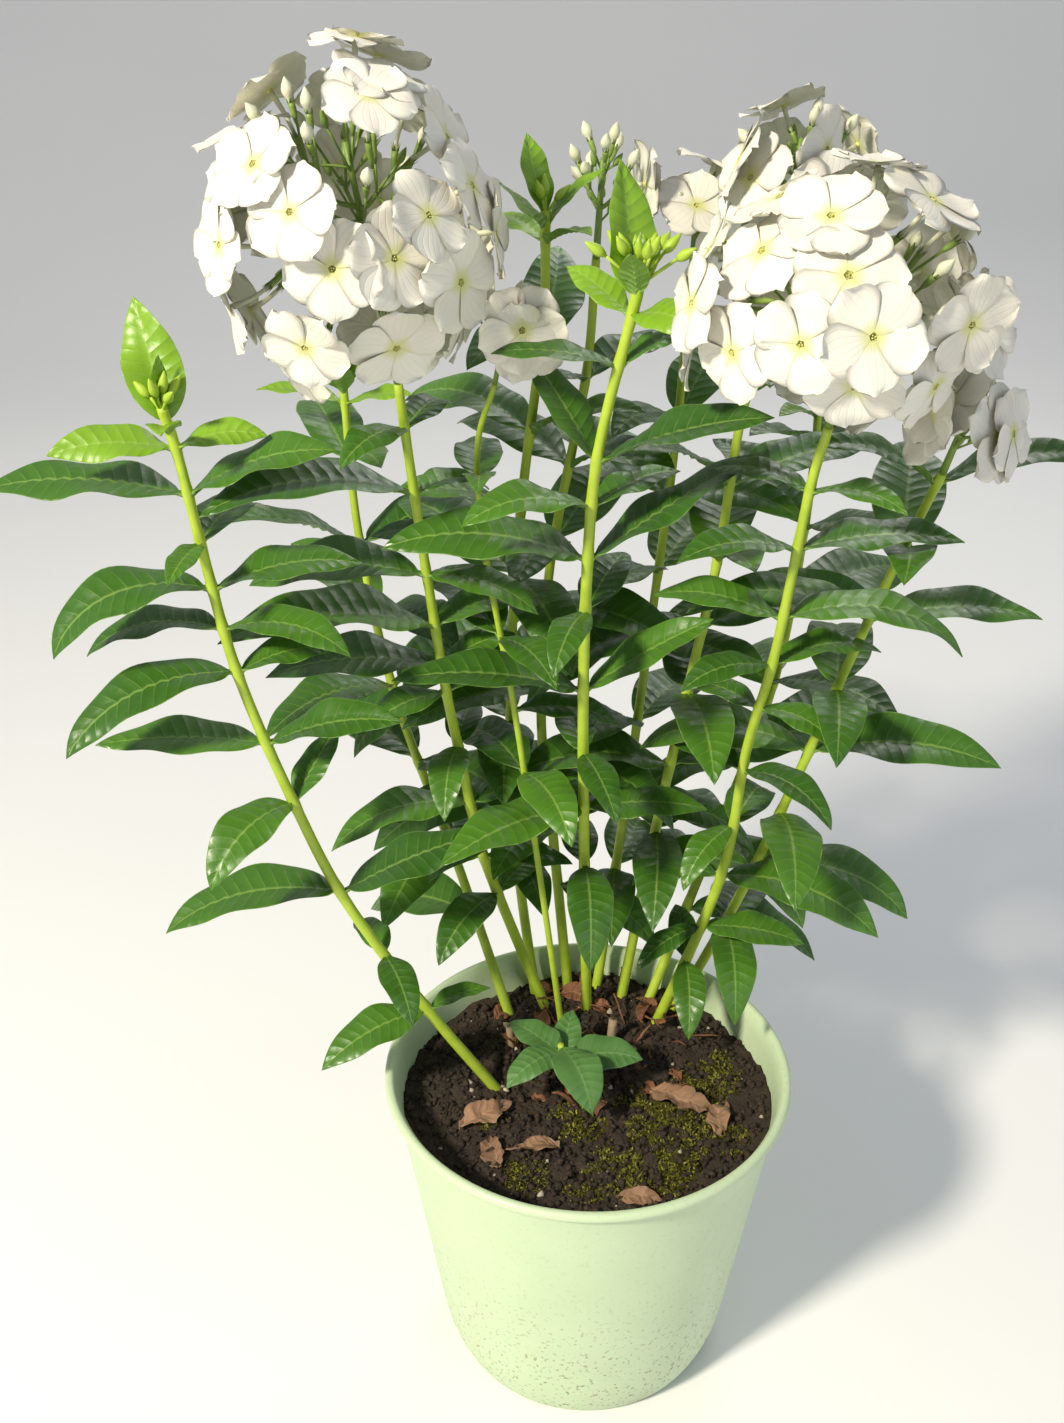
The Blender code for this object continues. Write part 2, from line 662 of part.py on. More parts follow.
def ruled_pairs(rule, draw):
    """Leaf pairs of a stem with no pairs of its own in the list: each a quarter turn on."""
    lowest, highest, internode, azimuth, longest = rule
    pairs = []
    height = lowest
    while height <= highest:
        share = (height - lowest) / max(1, highest - lowest)
        size = longest * (0.74 + 0.52 * math.sin(math.pi * (0.15 + 0.7 * share)) - 0.24 * share)
        leaves = []
        for turn in (0, 180):
            in_front = max(0.0, -math.sin(math.radians(azimuth + turn)))
            leaves.append((size * draw.uniform(0.88, 1.06) * (1 - 0.24 * in_front),
                           8 + 26 * share + draw.uniform(-6, 8), 72 - 34 * share + draw.uniform(-18, 18)))
        pairs.append((height, azimuth, *leaves))
        azimuth += 90 + draw.uniform(-10, 10)
        height += internode * draw.uniform(0.9, 1.1)
    return pairs


def plan_tuft(stem, turn, bud_count, draw, crowd):
    """Young leaves held round the tip of a stem, smaller and steeper inwards."""
    route = smooth_route(stem.path, 60)
    top = stem.path[-1].z / MM
    for below, azimuth, length, rise, droop, broad, roll in TUFT_ROWS.get(stem.name, PLAIN_TUFT):
        leaf = new_leaf(stem, route, top - below, turn + azimuth, (length, rise, droop), draw,
                        youth=0.85, broad=broad)
        leaf.roll += roll
        place_leaf(stem, leaf, crowd)
    tip = stem.path[-1]
    for i in range(bud_count):
        lean = heading(turn + 137.5 * i + 340, 78 - 52 * i / bud_count)
        reach = (6 + (12 * i / bud_count if bud_count > 6 else 0)) * MM
        root = tip - Vector((0, 0, 2 * MM))
        stem.buds.append(Bud(root, tip + lean * reach, tip + lean * (reach + 9 * MM), 2.1 * MM, True))


def plan_leaves(stems, crowd):
    for name, stem in stems.items():
        if name == "low_shoot":
            continue
        draw = random.Random("leaves " + name)
        route = smooth_route(stem.path, 60)
        pairs = LEAF_PAIRS.get(name) or ruled_pairs(LEAF_RULES[name], draw)
        for height, azimuth, first, second in pairs:
            for size, away in ((first, 0), (second, 180)):
                place_leaf(stem, new_leaf(stem, route, height, azimuth + away, size, draw), crowd)
        if name in TUFTS:
            plan_tuft(stem, *TUFTS[name], draw, crowd)


def plan_low_shoot(stem, crowd):
    draw = random.Random("low shoot")
    route = smooth_route(stem.path, 60)
    top = stem.path[-1].z / MM
    for k, (azimuth, length, rise, droop) in enumerate([
        (292, 44, 16, 84), (214, 38, 18, 62), (160, 36, 26, 44), (356, 42, 22, 44), (84, 32, 34, 30),
    ]):
        leaf = new_leaf(stem, route, top - 2 - 3.4 * k, azimuth, (length, rise, droop), draw,
                        youth=0.45, broad=1.4)
        place_leaf(stem, leaf, crowd)


def plan_stubs(crowd):
    """Cut ends of old stems, leaning a little, as (name, foot, top, radius)."""
    stubs = []
    for k, (x, y, azimuth, height, radius) in enumerate(STUBS):
        ground = Vector((x * MM, y * MM, soil_height(x * MM, y * MM)))
        lean = heading(azimuth, 80)
        stub = (f"old_stub_{k + 1}", ground - lean * 9 * MM, ground + lean * height * MM, radius * MM)
        stubs.append(stub)
        crowd.add(stub[0], *rings_mesh([stub[1], stub[2]], (stub[3] + 0.8 * MM,) * 2, 6))
    return stubs


def plan_dry_leaves(crowd):
    """Curled leaves lowered on to the soil until they all but touch it."""
    draw = random.Random("dry leaves")
    ground = BVHTree.FromPolygons(*soil_mesh())
    fallen = []
    for x, y, azimuth, length, curl in DRY_LEAVES:
        root = Vector((x * MM, y * MM, SOIL_TOP + 20 * MM))
        leaf = Leaf(root, azimuth, length * MM, 12 * curl, 40 * curl, sweep=draw.uniform(-50, 50),
                    roll=draw.uniform(-40, 40), fold=draw.uniform(20, 34), broad=1.15,
                    phase=draw.uniform(0, 6.28), youth=0.0)
        step = 8 * MM
        while step > 0.05 * MM:
            leaf.root = leaf.root - Vector((0, 0, step))
            if BVHTree.FromPolygons(*blade_mesh(leaf)).overlap(ground):
                leaf.root = leaf.root + Vector((0, 0, step))
                step /= 2
        leaf.root = leaf.root + Vector((0, 0, 0.2 * MM))
        shape = blade_mesh(leaf, CLEAR_LEAF_THICKNESS)
        if not crowd.hits(*shape):
            crowd.add("dry", *shape)
            fallen.append(leaf)
    return fallen


def plan_plant():
    """Every stem, leaf and head, placed clear of each other. The same each run."""
    crowd = Crowd()
    stems = plan_stems()
    for stem in stems.values():
        crowd.add(stem.name + "_shaft", *stem_mesh(stem, extra=0.8 * MM, rings=20))
    heads = {}
    for name in HEAD_FORMS:
        heads[name] = plan_head(name, stems[HEAD_FORMS[name][0]], crowd)
    plan_leaves(stems, crowd)
    stubs = plan_stubs(crowd)
    plan_low_shoot(stems["low_shoot"], crowd)
    return stems, heads, stubs, plan_dry_leaves(crowd)


def new_material(name, colour, roughness):
    material = bpy.data.materials.new(name)
    material.use_nodes = True
    shader = material.node_tree.nodes["Principled BSDF"]
    shader.inputs["Base Color"].default_value = (*colour, 1)
    shader.inputs["Roughness"].default_value = roughness
    shader.inputs["Metallic"].default_value = 0.0
    return material


def new_object(name, verts, faces, material, collection=None):
    mesh = bpy.data.meshes.new(name)
    mesh.from_pydata([tuple(v) for v in verts], [], faces)
    mesh.materials.append(material)
    mesh.validate()
    obj = bpy.data.objects.new(name, mesh)
    (collection or bpy.context.scene.collection).objects.link(obj)
    return obj


def fuse(base, others):
    """Joins loose closed shapes to base with one Boolean union, and removes them."""
    if not others:
        return base
    group = bpy.data.collections.new(base.name + "_pieces")
    for obj in others:
        bpy.context.scene.collection.objects.unlink(obj)
        group.objects.link(obj)
    bpy.context.scene.collection.children.link(group)
    union = base.modifiers.new("union", "BOOLEAN")
    union.operation = "UNION"
    union.operand_type = "COLLECTION"
    union.collection = group
    union.solver = "MANIFOLD"
    bpy.context.view_layer.objects.active = base
    bpy.ops.object.modifier_apply(modifier=union.name)
    for obj in others:
        bpy.data.objects.remove(obj)
    bpy.data.collections.remove(group)
    keep_main_shell(base)
    slim(base)
    return base


def slim(obj):
    """Drops the tiny slivers that a union leaves along its seams."""
    thin = obj.modifiers.new("slim", "DECIMATE")
    thin.ratio = SLIM_RATIO
    bpy.context.view_layer.objects.active = obj
    bpy.ops.object.modifier_apply(modifier=thin.name)


def keep_main_shell(obj):
    """Fills pockets that the union sealed and drops scraps, which are shells of their own."""
    work = bmesh.new()
    work.from_mesh(obj.data)
    left, shells = set(work.faces), []
    while left:
        stack = [left.pop()]
        shell = list(stack)
        while stack:
            for edge in stack.pop().edges:
                for face in edge.link_faces:
                    if face in left:
                        left.remove(face)
                        stack.append(face)
                        shell.append(face)
        shells.append(shell)
    shells.sort(key=len)
    spare = [face for shell in shells[:-1] for face in shell]
    bmesh.ops.delete(work, geom=spare, context="FACES")
    work.to_mesh(obj.data)
    work.free()


def turned(name, profile, sides, material):
    """A solid of revolution from a closed outline of (radius, height), axis points at radius 0."""
    verts, faces, rows = [], [], []
    for radius, height in profile:
        if radius == 0:
            rows.append([len(verts)] * sides)
            verts.append(Vector((0, 0, height)))
            continue
        rows.append(list(range(len(verts), len(verts) + sides)))
        for k in range(sides):
            a = 2 * math.pi * k / sides
            verts.append(Vector((radius * math.cos(a), radius * math.sin(a), height)))
    for low, high in zip(rows, rows[1:]):
        for k in range(sides):
            a, b, c, d = low[k], low[(k + 1) % sides], high[(k + 1) % sides], high[k]
            if a == b:
                faces.append((a, c, d))
            elif c == d:
                faces.append((a, b, c))
            else:
                faces.append((a, b, c, d))
    return new_object(name, verts, faces, material)


def outer_radius(height):
    """The pot wall's outer radius at a height: a straight taper, drawn in round the heel."""
    low, high = POT_WALL_RADII
    share = height / (POT_HEIGHT - POT_LIP_HEIGHT)
    heel = max(0.0, 1 - height / POT_HEEL_HEIGHT) ** 2
    return low + (high - low) * share - POT_HEEL_INSET * heel


def inner_radius(height):
    return outer_radius(height) - POT_WALL


def make_pot(material):
    lip = POT_HEIGHT - POT_LIP_HEIGHT
    rim = POT_RIM_RADIUS
    profile = [(0, 0), (outer_radius(0) - 1.5 * MM, 0)]
    profile += [(outer_radius(z), z) for z in (2 * MM, 9 * MM, POT_HEEL_HEIGHT)]
    profile += [
        (outer_radius(lip) + 0.5 * MM, lip - 1 * MM), (rim - 0.5 * MM, lip + 0.4 * MM),
        (rim, lip + 2.4 * MM), (rim - 1.2 * MM, POT_HEIGHT - 0.6 * MM), (rim - 2.6 * MM, POT_HEIGHT),
        (rim - 4.6 * MM, POT_HEIGHT - 1 * MM), (inner_radius(lip), lip - 2 * MM),
    ]
    profile += [(inner_radius(z), z) for z in (POT_HEEL_HEIGHT, POT_FLOOR)] + [(0, POT_FLOOR)]
    pot = turned("pot", profile, POT_SIDES, material)
    for k in range(DRAIN_SLOTS):
        angle = 2 * math.pi * (k + 0.5) / DRAIN_SLOTS
        width, depth, height = DRAIN_SLOT_SIZE
        at = Vector((math.cos(angle), math.sin(angle), 0)) * outer_radius(0)
        bpy.ops.mesh.primitive_cube_add(size=1, location=at - Vector((0, 0, 1 * MM)))
        cutter = bpy.context.object
        cutter.name = f"slot_cutter_{k}"
        cutter.dimensions = (depth, width, height)
        cutter.rotation_euler = (0, 0, angle)
        cutter.hide_render = True
        cutter.display_type = "WIRE"
        cut = pot.modifiers.new(f"slot_{k}", "BOOLEAN")
        cut.operation = "DIFFERENCE"
        cut.solver = "EXACT"
        cut.object = cutter
    return pot


def soil_height(x, y):
    """The soil's surface: raised round the crown, uneven elsewhere."""
    away = (Vector((x, y)) - CROWN.xy).length
    mound = CROWN_MOUND * math.exp(-(away / CROWN_SPREAD) ** 2)
    uneven = 1.6 * MM * math.sin(x * 78 + 1.1) * math.cos(y * 66 - 0.4)
    return SOIL_TOP - 3 * MM + mound + uneven


def soil_mesh():
    """A closed plug that fills the pot, its top following soil_height."""
    bottom = POT_FLOOR + GAP
    rows = [(inner_radius(z) - 0.6 * MM, z) for z in (bottom, POT_HEEL_HEIGHT)]
    edge = inner_radius(SOIL_TOP) - 0.6 * MM
    rows += [(edge * (SOIL_RINGS - i) / SOIL_RINGS, None) for i in range(SOIL_RINGS)]
    verts, faces = [Vector((0, 0, bottom))], []
    for radius, height in rows:
        for k in range(POT_SIDES):
            a = 2 * math.pi * k / POT_SIDES
            x, y = radius * math.cos(a), radius * math.sin(a)
            verts.append(Vector((x, y, soil_height(x, y) if height is None else height)))
    verts.append(Vector((0, 0, soil_height(0, 0))))
    last = 1 + (len(rows) - 1) * POT_SIDES
    for k in range(POT_SIDES):
        n = (k + 1) % POT_SIDES
        faces.append((0, n + 1, k + 1))
        for row in range(len(rows) - 1):
            a, b = 1 + row * POT_SIDES, 1 + (row + 1) * POT_SIDES
            faces += [(a + k, a + n, b + n), (a + k, b + n, b + k)]
        faces.append((last + k, last + n, len(verts) - 1))
    return verts, faces


def make_soil(material, stems, stubs):
    soil = new_object("soil", *soil_mesh(), material)
    for name, foot, above, radius in [
        (stem.name, stem.path[0], stem.path[1], stem.foot_radius) for stem in stems.values()
    ] + [(name, foot, foot.lerp(top, 0.5), radius) for name, foot, top, radius in stubs]:
        along = (above - foot).normalized()
        radius += HOLE_CLEARANCE
        hole = rings_mesh([foot - along * GAP, above + along * 14 * MM], (radius, radius), 6)
        cutter = new_object(f"hole_cutter_{name}", *hole, material)
        cutter.hide_render = True
        cutter.display_type = "WIRE"
        cut = soil.modifiers.new(name, "BOOLEAN")
        cut.operation = "DIFFERENCE"
        cut.solver = "EXACT"
        cut.object = cutter
    return soil


def make_stem(stem, material):
    base = new_object(f"stem_{stem.name}", *stem_mesh(stem), material)
    pieces = [new_object("leaf", *blade_mesh(leaf), material) for leaf in stem.leaves]
    pieces += [new_object("bud", *bud_mesh(bud), material) for bud in stem.buds]
    return fuse(base, pieces)


def make_head(head, white, green):
    base = new_object(head.name, *branch_mesh(head.branches[0]), green)
    pieces = [new_object("branch", *branch_mesh(branch), green) for branch in head.branches[1:]]
    pieces += [new_object("floret", *floret_mesh(floret), white) for floret in head.florets]
    for bud in head.buds:
        pieces.append(new_object("bud", *bud_mesh(bud), green if bud.green else white))
    return fuse(base, pieces)


def clear_scene():
    for obj in list(bpy.data.objects):
        bpy.data.objects.remove(obj)


def main():
    clear_scene()
    leaf_green = new_material("leaf_green", LEAF_GREEN, 0.45)
    stalk_green = new_material("stalk_green", STEM_GREEN, 0.5)
    white = new_material("petal_white", PETAL_WHITE, 0.6)
    stems, heads, stubs, fallen = plan_plant()
    make_pot(new_material("pot_green", POT_GREEN, 0.5))
    make_soil(new_material("soil_brown", SOIL_BROWN, 0.95), stems, stubs)
    dry = new_material("dry_brown", DRY_BROWN, 0.8)
    for name, foot, top, radius in stubs:
        rings = [foot, foot.lerp(top, 0.6), top]
        new_object(name, *rings_mesh(rings, (radius, radius, radius * 0.9), 7), dry)
    for k, leaf in enumerate(fallen):
        new_object(f"dry_leaf_{k + 1}", *blade_mesh(leaf), dry)
    for stem in stems.values():
        make_stem(stem, leaf_green)
    for head in heads.values():
        make_head(head, white, stalk_green)


main()
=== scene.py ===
"""The same white phlox in finer detail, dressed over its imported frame.

The stems, leaves and flowers are placed by the same seeded rules as the solids, so each
fine piece lies over the node that it stands for.
"""

import math
import random
from dataclasses import dataclass, field, replace

import bpy
import numpy as np
from mathutils import Matrix, Vector, noise
from mathutils.bvhtree import BVHTree


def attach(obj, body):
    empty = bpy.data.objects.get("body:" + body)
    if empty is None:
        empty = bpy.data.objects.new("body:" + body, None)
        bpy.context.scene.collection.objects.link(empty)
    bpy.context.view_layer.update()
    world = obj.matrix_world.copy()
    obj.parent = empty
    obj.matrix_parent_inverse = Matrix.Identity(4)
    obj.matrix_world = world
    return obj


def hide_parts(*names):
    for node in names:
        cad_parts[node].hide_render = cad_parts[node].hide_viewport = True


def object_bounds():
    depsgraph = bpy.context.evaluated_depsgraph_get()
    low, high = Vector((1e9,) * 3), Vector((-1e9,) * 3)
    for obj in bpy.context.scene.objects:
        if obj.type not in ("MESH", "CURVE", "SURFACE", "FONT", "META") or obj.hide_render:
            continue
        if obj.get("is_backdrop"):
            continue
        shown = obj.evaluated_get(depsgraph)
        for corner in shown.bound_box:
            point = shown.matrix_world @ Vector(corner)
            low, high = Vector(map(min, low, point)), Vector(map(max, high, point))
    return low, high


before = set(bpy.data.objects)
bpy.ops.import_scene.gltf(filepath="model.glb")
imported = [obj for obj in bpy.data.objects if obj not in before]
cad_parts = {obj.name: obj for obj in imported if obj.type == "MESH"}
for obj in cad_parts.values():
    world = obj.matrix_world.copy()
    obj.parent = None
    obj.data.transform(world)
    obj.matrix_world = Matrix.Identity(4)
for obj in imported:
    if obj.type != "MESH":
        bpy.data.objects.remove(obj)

MM = 0.001

# Pot: outer sizes of a 21 cm nursery pot
POT_HEIGHT = 177 * MM
POT_RIM_RADIUS = 105 * MM
POT_WALL_RADII = (75.5 * MM, 100.3 * MM)
POT_WALL = 2.0 * MM
POT_FLOOR = 2.4 * MM
POT_LIP_HEIGHT = 5.5 * MM
POT_HEEL_HEIGHT = 26 * MM
POT_HEEL_INSET = 4.5 * MM
POT_SIDES = 32
DRAIN_SLOTS = 8
DRAIN_SLOT_SIZE = (15 * MM, 9 * MM, 5 * MM)

# Soil
GAP = 0.3 * MM
SOIL_TOP = 159 * MM
SOIL_RINGS = 2
SOIL_INSET = 0.6 * MM
CROWN = Vector((8 * MM, 58 * MM, SOIL_TOP))
CROWN_MOUND = 7 * MM
CROWN_SPREAD = 42 * MM

# Stems
STEM_FOOT_RADIUS = 3.3 * MM
STEM_TIP_RADIUS = 2.1 * MM
STEM_SIDES = 5
STEM_RINGS = 7
STEM_ROOT_DEPTH = 22 * MM

# Leaves
LEAF_WIDTH_RATIO = 0.40
LEAF_THICKNESS = 1.2 * MM
LEAF_STALK = 0.04
LEAF_BASE_CURVE, LEAF_TIP_CURVE = 0.62, 0.95
LEAF_OUTLINE_PEAK = 0.357
LEAF_LEAST_HALF_WIDTH = 1.5 * MM
LEAF_ARCH = 0.16
LEAF_WAVE = 0.07
LEAF_STATIONS = (0.2, 0.48, 0.76)
SMALL_LEAF_STATIONS = (0.28, 0.66)
SMALL_LEAF = 60 * MM
SPINE_STEPS = 24
ROUTE_STEPS = 60
CLEAR_LEAF_THICKNESS = 3.0 * MM
# Degrees by which a sideways leaf turns its upper face to the light in front
TURN_TO_LIGHT = 22

# Florets
FLORET_RADIUS = 19.5 * MM
CALYX_RADIUS = 1.5 * MM
PEDICEL_RADIUS = 0.8 * MM
PETALS = 5
PETAL_NOTCH = 0.62
PETAL_SPAN = (0.24, 0.76)
PETAL_RISE = 0.14
PETAL_TWIST = 0.05
BUD_LENGTH = 9 * MM
BUD_RADIUS = 2.4 * MM
GREEN_BUD_RADIUS = 1.6 * MM
GREEN_BUD_LENGTH = 7 * MM

# Heads
BRANCH_RADIUS = 1.1 * MM
ELBOW_SHARE = 0.42
ELBOW_DROP = 5 * MM
FORK_DROP = 7 * MM
SEAT_TRIES = 90
GOLDEN_TURN = math.radians(137.508)
# Upper end of a random angle in radians
RANDOM_TURN = 6.28
# What crossing a shape of another owner counts, where its own counts one
FOREIGN_HIT = 100


@dataclass
class Leaf:
    """One leaf. Angles are in degrees, and azimuth 0 is +X, 90 is +Y."""

    root: Vector
    azimuth: float
    length: float
    rise: float
    droop: float
    sweep: float = 0.0
    roll: float = 0.0
    fold: float = 16.0
    broad: float = 1.0
    phase: float = 0.0
    youth: float = 0.0


@dataclass
class Floret:
    """One open flower: its stalk starts at root, and its petals spread round mouth."""

    root: Vector
    mouth: Vector
    facing: Vector
    radius: float
    turn: float
    cup: float
    seed: int


@dataclass
class Bud:
    root: Vector
    neck: Vector
    tip: Vector
    radius: float
    green: bool


@dataclass
class Branch:
    start: Vector
    end: Vector
    radius: float


@dataclass
class Stem:
    name: str
    path: list
    foot_radius: float
    tip_radius: float
    leaves: list = field(default_factory=list)
    buds: list = field(default_factory=list)


@dataclass
class Head:
    name: str
    stem: str
    branches: list = field(default_factory=list)
    florets: list = field(default_factory=list)
    buds: list = field(default_factory=list)


# Each stem's route in millimetres: where it leaves the soil, then the way to its tip.
STEM_ROUTES = {
    "left": [(-51, 5, 159), (-80, 2, 206), (-118, -4, 278), (-140, -8, 340), (-158, -12, 405),
             (-166, -16, 460), (-171, -20, 505), (-175, -22, 527)],
    "centre": [(2, 62, 159), (-2, 42, 281), (-5, 15, 380), (-5, -7, 458), (-2, -20, 509),
               (9, -35, 567), (11, -38, 579)],
    "right": [(40, 52, 159), (61, 47, 228), (71, 36, 283), (74, 23, 348), (80, 3, 408),
              (84, -20, 490), (87, -32, 522)],
    "mid_left": [(-21, 66, 159), (-45, 62, 233), (-56, 53, 277), (-65, 44, 337), (-70, 34, 376),
                 (-75, 24, 427), (-79, 8, 480), (-83, -4, 532)],
    "back_centre": [(-8, 81, 159), (-18, 84, 270), (-24, 84, 336), (-20, 86, 417), (-4, 86, 510),
                    (0, 85, 566)],
    "back_right": [(22, 74, 159), (38, 80, 269), (50, 76, 350), (61, 70, 428), (66, 62, 495),
                   (76, 56, 560)],
    "far_right": [(52, 66, 159), (82, 58, 240), (106, 44, 328), (118, 34, 380), (133, 16, 447),
                  (141, -8, 496)],
    "back_left": [(-27, 80, 159), (-38, 98, 250), (-40, 100, 350), (-34, 84, 450), (-24, 66, 540),
                  (-23, 60, 590)],
    "rear": [(8, 82, 159), (22, 104, 260), (34, 118, 370), (42, 112, 470), (45, 104, 548)],
    "rear_left": [(-42, 62, 159), (-72, 98, 240), (-104, 122, 330), (-120, 132, 420),
                  (-124, 136, 500)],
    "rear_right": [(38, 74, 159), (70, 100, 240), (104, 130, 330), (116, 140, 420),
                   (118, 142, 492)],
    "slender": [(-12, 46, 159), (-24, 40, 260), (-38, 34, 370), (-50, 24, 450), (-52, 12, 500),
                (-44, 4, 530)],
}

# Leaf pairs of the stems that show in front: height in millimetres, the first leaf's
# azimuth, then length, rise and droop of the first leaf and of the one opposite.
LEAF_PAIRS = {
    "left": [
        (210, 205, (62, 2, 40), (34, 25, 40)),
        (246, 292, (45, 8, 72), (40, 20, 60)),
        (286, 187, (90, 14, 58), (78, 30, 30)),
        (338, 236, (62, 14, 84), (44, 46, 30)),
        (370, 181, (76, 8, 14), (64, 26, 34)),
        (407, 198, (86, 10, 68), (46, 24, 50)),
        (428, 172, (68, 12, 62), (62, 20, 60)),
        (447, 192, (80, 20, 92), (66, 24, 44)),
        (468, 262, (34, 6, 40), (66, 18, 56)),
        (490, 180, (84, 14, 28), (66, 34, 40)),
    ],
    "centre": [
        (270, 274, (64, 6, 92), (52, 20, 60)),
        (309, 184, (88, 18, 44), (62, 10, 24)),
        (346, 282, (48, 8, 66), (50, 22, 50)),
        (385, 182, (90, 22, 38), (68, 38, 16)),
        (430, 246, (46, 8, 62), (56, 26, 40)),
        (457, 184, (90, 24, 48), (86, 36, 12)),
        (483, 205, (60, 24, 58), (50, 24, 40)),
        (504, 170, (52, 56, 12), (74, 30, 26)),
        (545, 186, (50, 20, 34), (34, 36, 34)),
    ],
    "right": [
        (206, 272, (46, -8, 62), (42, 28, 40)),
        (230, 206, (44, 0, 54), (56, 10, 40)),
        (266, 342, (88, 12, 56), (46, 8, 44)),
        (300, 222, (46, 2, 70), (60, 20, 70)),
        (336, 312, (58, 22, 76), (50, 16, 40)),
        (376, 326, (46, 14, 64), (44, 20, 44)),
        (402, 20, (56, 24, 56), (48, 16, 50)),
        (428, 350, (86, 26, 82), (60, 24, 50)),
        (464, 12, (70, 18, 34), (56, 20, 46)),
        (492, 330, (44, 20, 50), (46, 24, 50)),
    ],
    "mid_left": [
        (242, 230, (56, 4, 52), (44, 20, 40)),
        (268, 176, (64, 2, 18), (48, 16, 50)),
        (304, 196, (78, 16, 62), (60, 24, 34)),
        (340, 262, (50, 8, 70), (48, 20, 50)),
        (374, 205, (58, 4, 78), (54, 30, 40)),
        (390, 186, (84, 14, 40), (40, 30, 40)),
        (412, 207, (102, 24, 50), (58, 20, 44)),
        (440, 184, (84, 14, 46), (56, 20, 60)),
        (482, 200, (94, 22, 52), (66, 22, 58)),
        (512, 244, (46, 18, 60), (44, 24, 56)),
    ],
}

# The other stems carry pairs by rule: lowest and highest pair, internode, first azimuth,
# longest leaf.
LEAF_RULES = {
    "back_centre": (232, 540, 41, 150, 88),
    "back_right": (226, 530, 41, 20, 88),
    "far_right": (222, 492, 38, 80, 90),
    "back_left": (240, 570, 41, 120, 86),
    "rear": (232, 524, 42, 60, 90),
    "rear_left": (210, 486, 40, 150, 94),
    "rear_right": (210, 478, 40, 30, 94),
    "slender": (292, 504, 40, 200, 70),
}

# Young leaves round the tip of a stem with no flowers: millimetres below the tip, azimuth,
# length, rise, droop, breadth and roll.
TUFT_ROWS = {
    "left": [(17, 186, 50, 14, 34, 1.15, -44), (17, 6, 38, 26, 50, 1.1, 36), (10, 276, 32, 30, 40, 1.1, 0),
             (8, 130, 52, 72, 14, 1.2, -20), (5, 24, 40, 54, 24, 1.1, 30), (2, 196, 32, 68, -16, 1.1, -20),
             (2, 330, 28, 66, -24, 1.1, 0)],
    "centre": [(14, 336, 52, 12, 58, 1.2, 34), (14, 156, 36, 36, 30, 1.1, -24), (8, 112, 50, 78, 8, 1.2, 0),
               (6, 252, 26, 52, 20, 1.1, 0), (3, 34, 34, 60, -6, 1.1, 20), (2, 206, 26, 68, -16, 1.1, 0)],
}
PLAIN_TUFT = [(13, 0, 46, 20, 30, 1.0, 0), (13, 180, 38, 26, 34, 1.0, 0), (7, 96, 38, 46, 24, 1.1, 0),
              (6, 276, 34, 50, 20, 1.1, 0), (2, 20, 34, 72, 0, 1.15, 0)]

# How far the plain tuft is turned, and how many green buds each tuft holds
TUFTS = {
    "left": (0, 6), "centre": (0, 14), "back_left": (120, 3), "rear_left": (170, 3), "rear_right": (40, 3),
}

# Flower heads: the stem that carries it, centre of the dome, half width and half height
# in millimetres, how far it comes down, open florets, long white buds and small green buds.
HEAD_FORMS = {
    "left_head": ("mid_left", (-98, -12, 595), 52, 64, 1.60, 40, 12, 8),
    "right_head": ("right", (83, -52, 575), 56, 43, 1.52, 32, 8, 4),
    "back_head": ("back_right", (82, 50, 608), 30, 26, 1.4, 9, 9, 8),
    "bud_head": ("back_centre", (2, 82, 600), 20, 20, 1.4, 1, 10, 6),
    "rear_head": ("rear", (46, 100, 586), 26, 20, 1.4, 6, 5, 4),
    "far_right_head": ("far_right", (141, -34, 524), 17, 15, 1.4, 4, 3, 3),
    "slender_head": ("slender", (-38, -4, 556), 15, 12, 1.4, 3, 4, 3),
}
FACES_FRONT = ("far_right_head", "slender_head")

# Fallen leaves in millimetres and degrees: place, azimuth, length, curl
DRY_LEAVES = [
    (-66, -28, 24, 34, 1.0), (-14, -40, 205, 30, 0.8), (34, -2, 322, 36, 1.2), (64, -34, 80, 28, 0.9),
    (-44, -58, 118, 26, 0.7), (12, -76, 8, 22, 0.8),
]

# Stubs of last year's stems: foot, lean azimuth, height above the soil, radius
STUBS = [(14, 34, 60, 15, 2.4), (-22, 28, 200, 11, 2.1), (24, 22, 330, 9, 2.0), (-40, 34, 120, 13, 2.0)]

# Low shoot of broad young leaves in front of the clump
LOW_SHOOT_FOOT = (-10, 8, 159)
LOW_SHOOT_TOP = (-14, 0, 188)


def mm(point):
    return Vector(point) * MM


def heading(azimuth, rise):
    a, e = math.radians(azimuth), math.radians(rise)
    return Vector((math.cos(a) * math.cos(e), math.sin(a) * math.cos(e), math.sin(e)))


def smooth_route(points, count):
    """count points, evenly spaced in the parameter, on a Catmull-Rom curve through points."""
    padded = [points[0] * 2 - points[1], *points, points[-1] * 2 - points[-2]]
    spans = len(points) - 1
    route = []
    for i in range(count):
        x = i / (count - 1) * spans
        k = min(int(x), spans - 1)
        t = x - k
        a, b, c, d = padded[k:k + 4]
        route.append(0.5 * (
            2 * b + (c - a) * t + (2 * a - 5 * b + 4 * c - d) * t * t
            + (3 * b - a - 3 * c + d) * t ** 3
        ))
    return route


def point_at_height(route, height):
    """Where a rising route passes this height."""
    for low, high in zip(route, route[1:]):
        if low.z <= height <= high.z:
            return low.lerp(high, (height - low.z) / (high.z - low.z))
    return route[-1].copy() if height > route[-1].z else route[0].copy()


def across(direction):
    """Two unit vectors square to a direction."""
    side = direction.cross(Vector((0, 0, 1)))
    if side.length < 0.1:
        side = direction.cross(Vector((0, 1, 0)))
    side.normalize()
    return side, direction.cross(side).normalized()


def round_point(centre, side, up, angle, radius):
    """A point of a circle round centre, in the plane of side and up."""
    return centre + (side * math.cos(angle) + up * math.sin(angle)) * radius


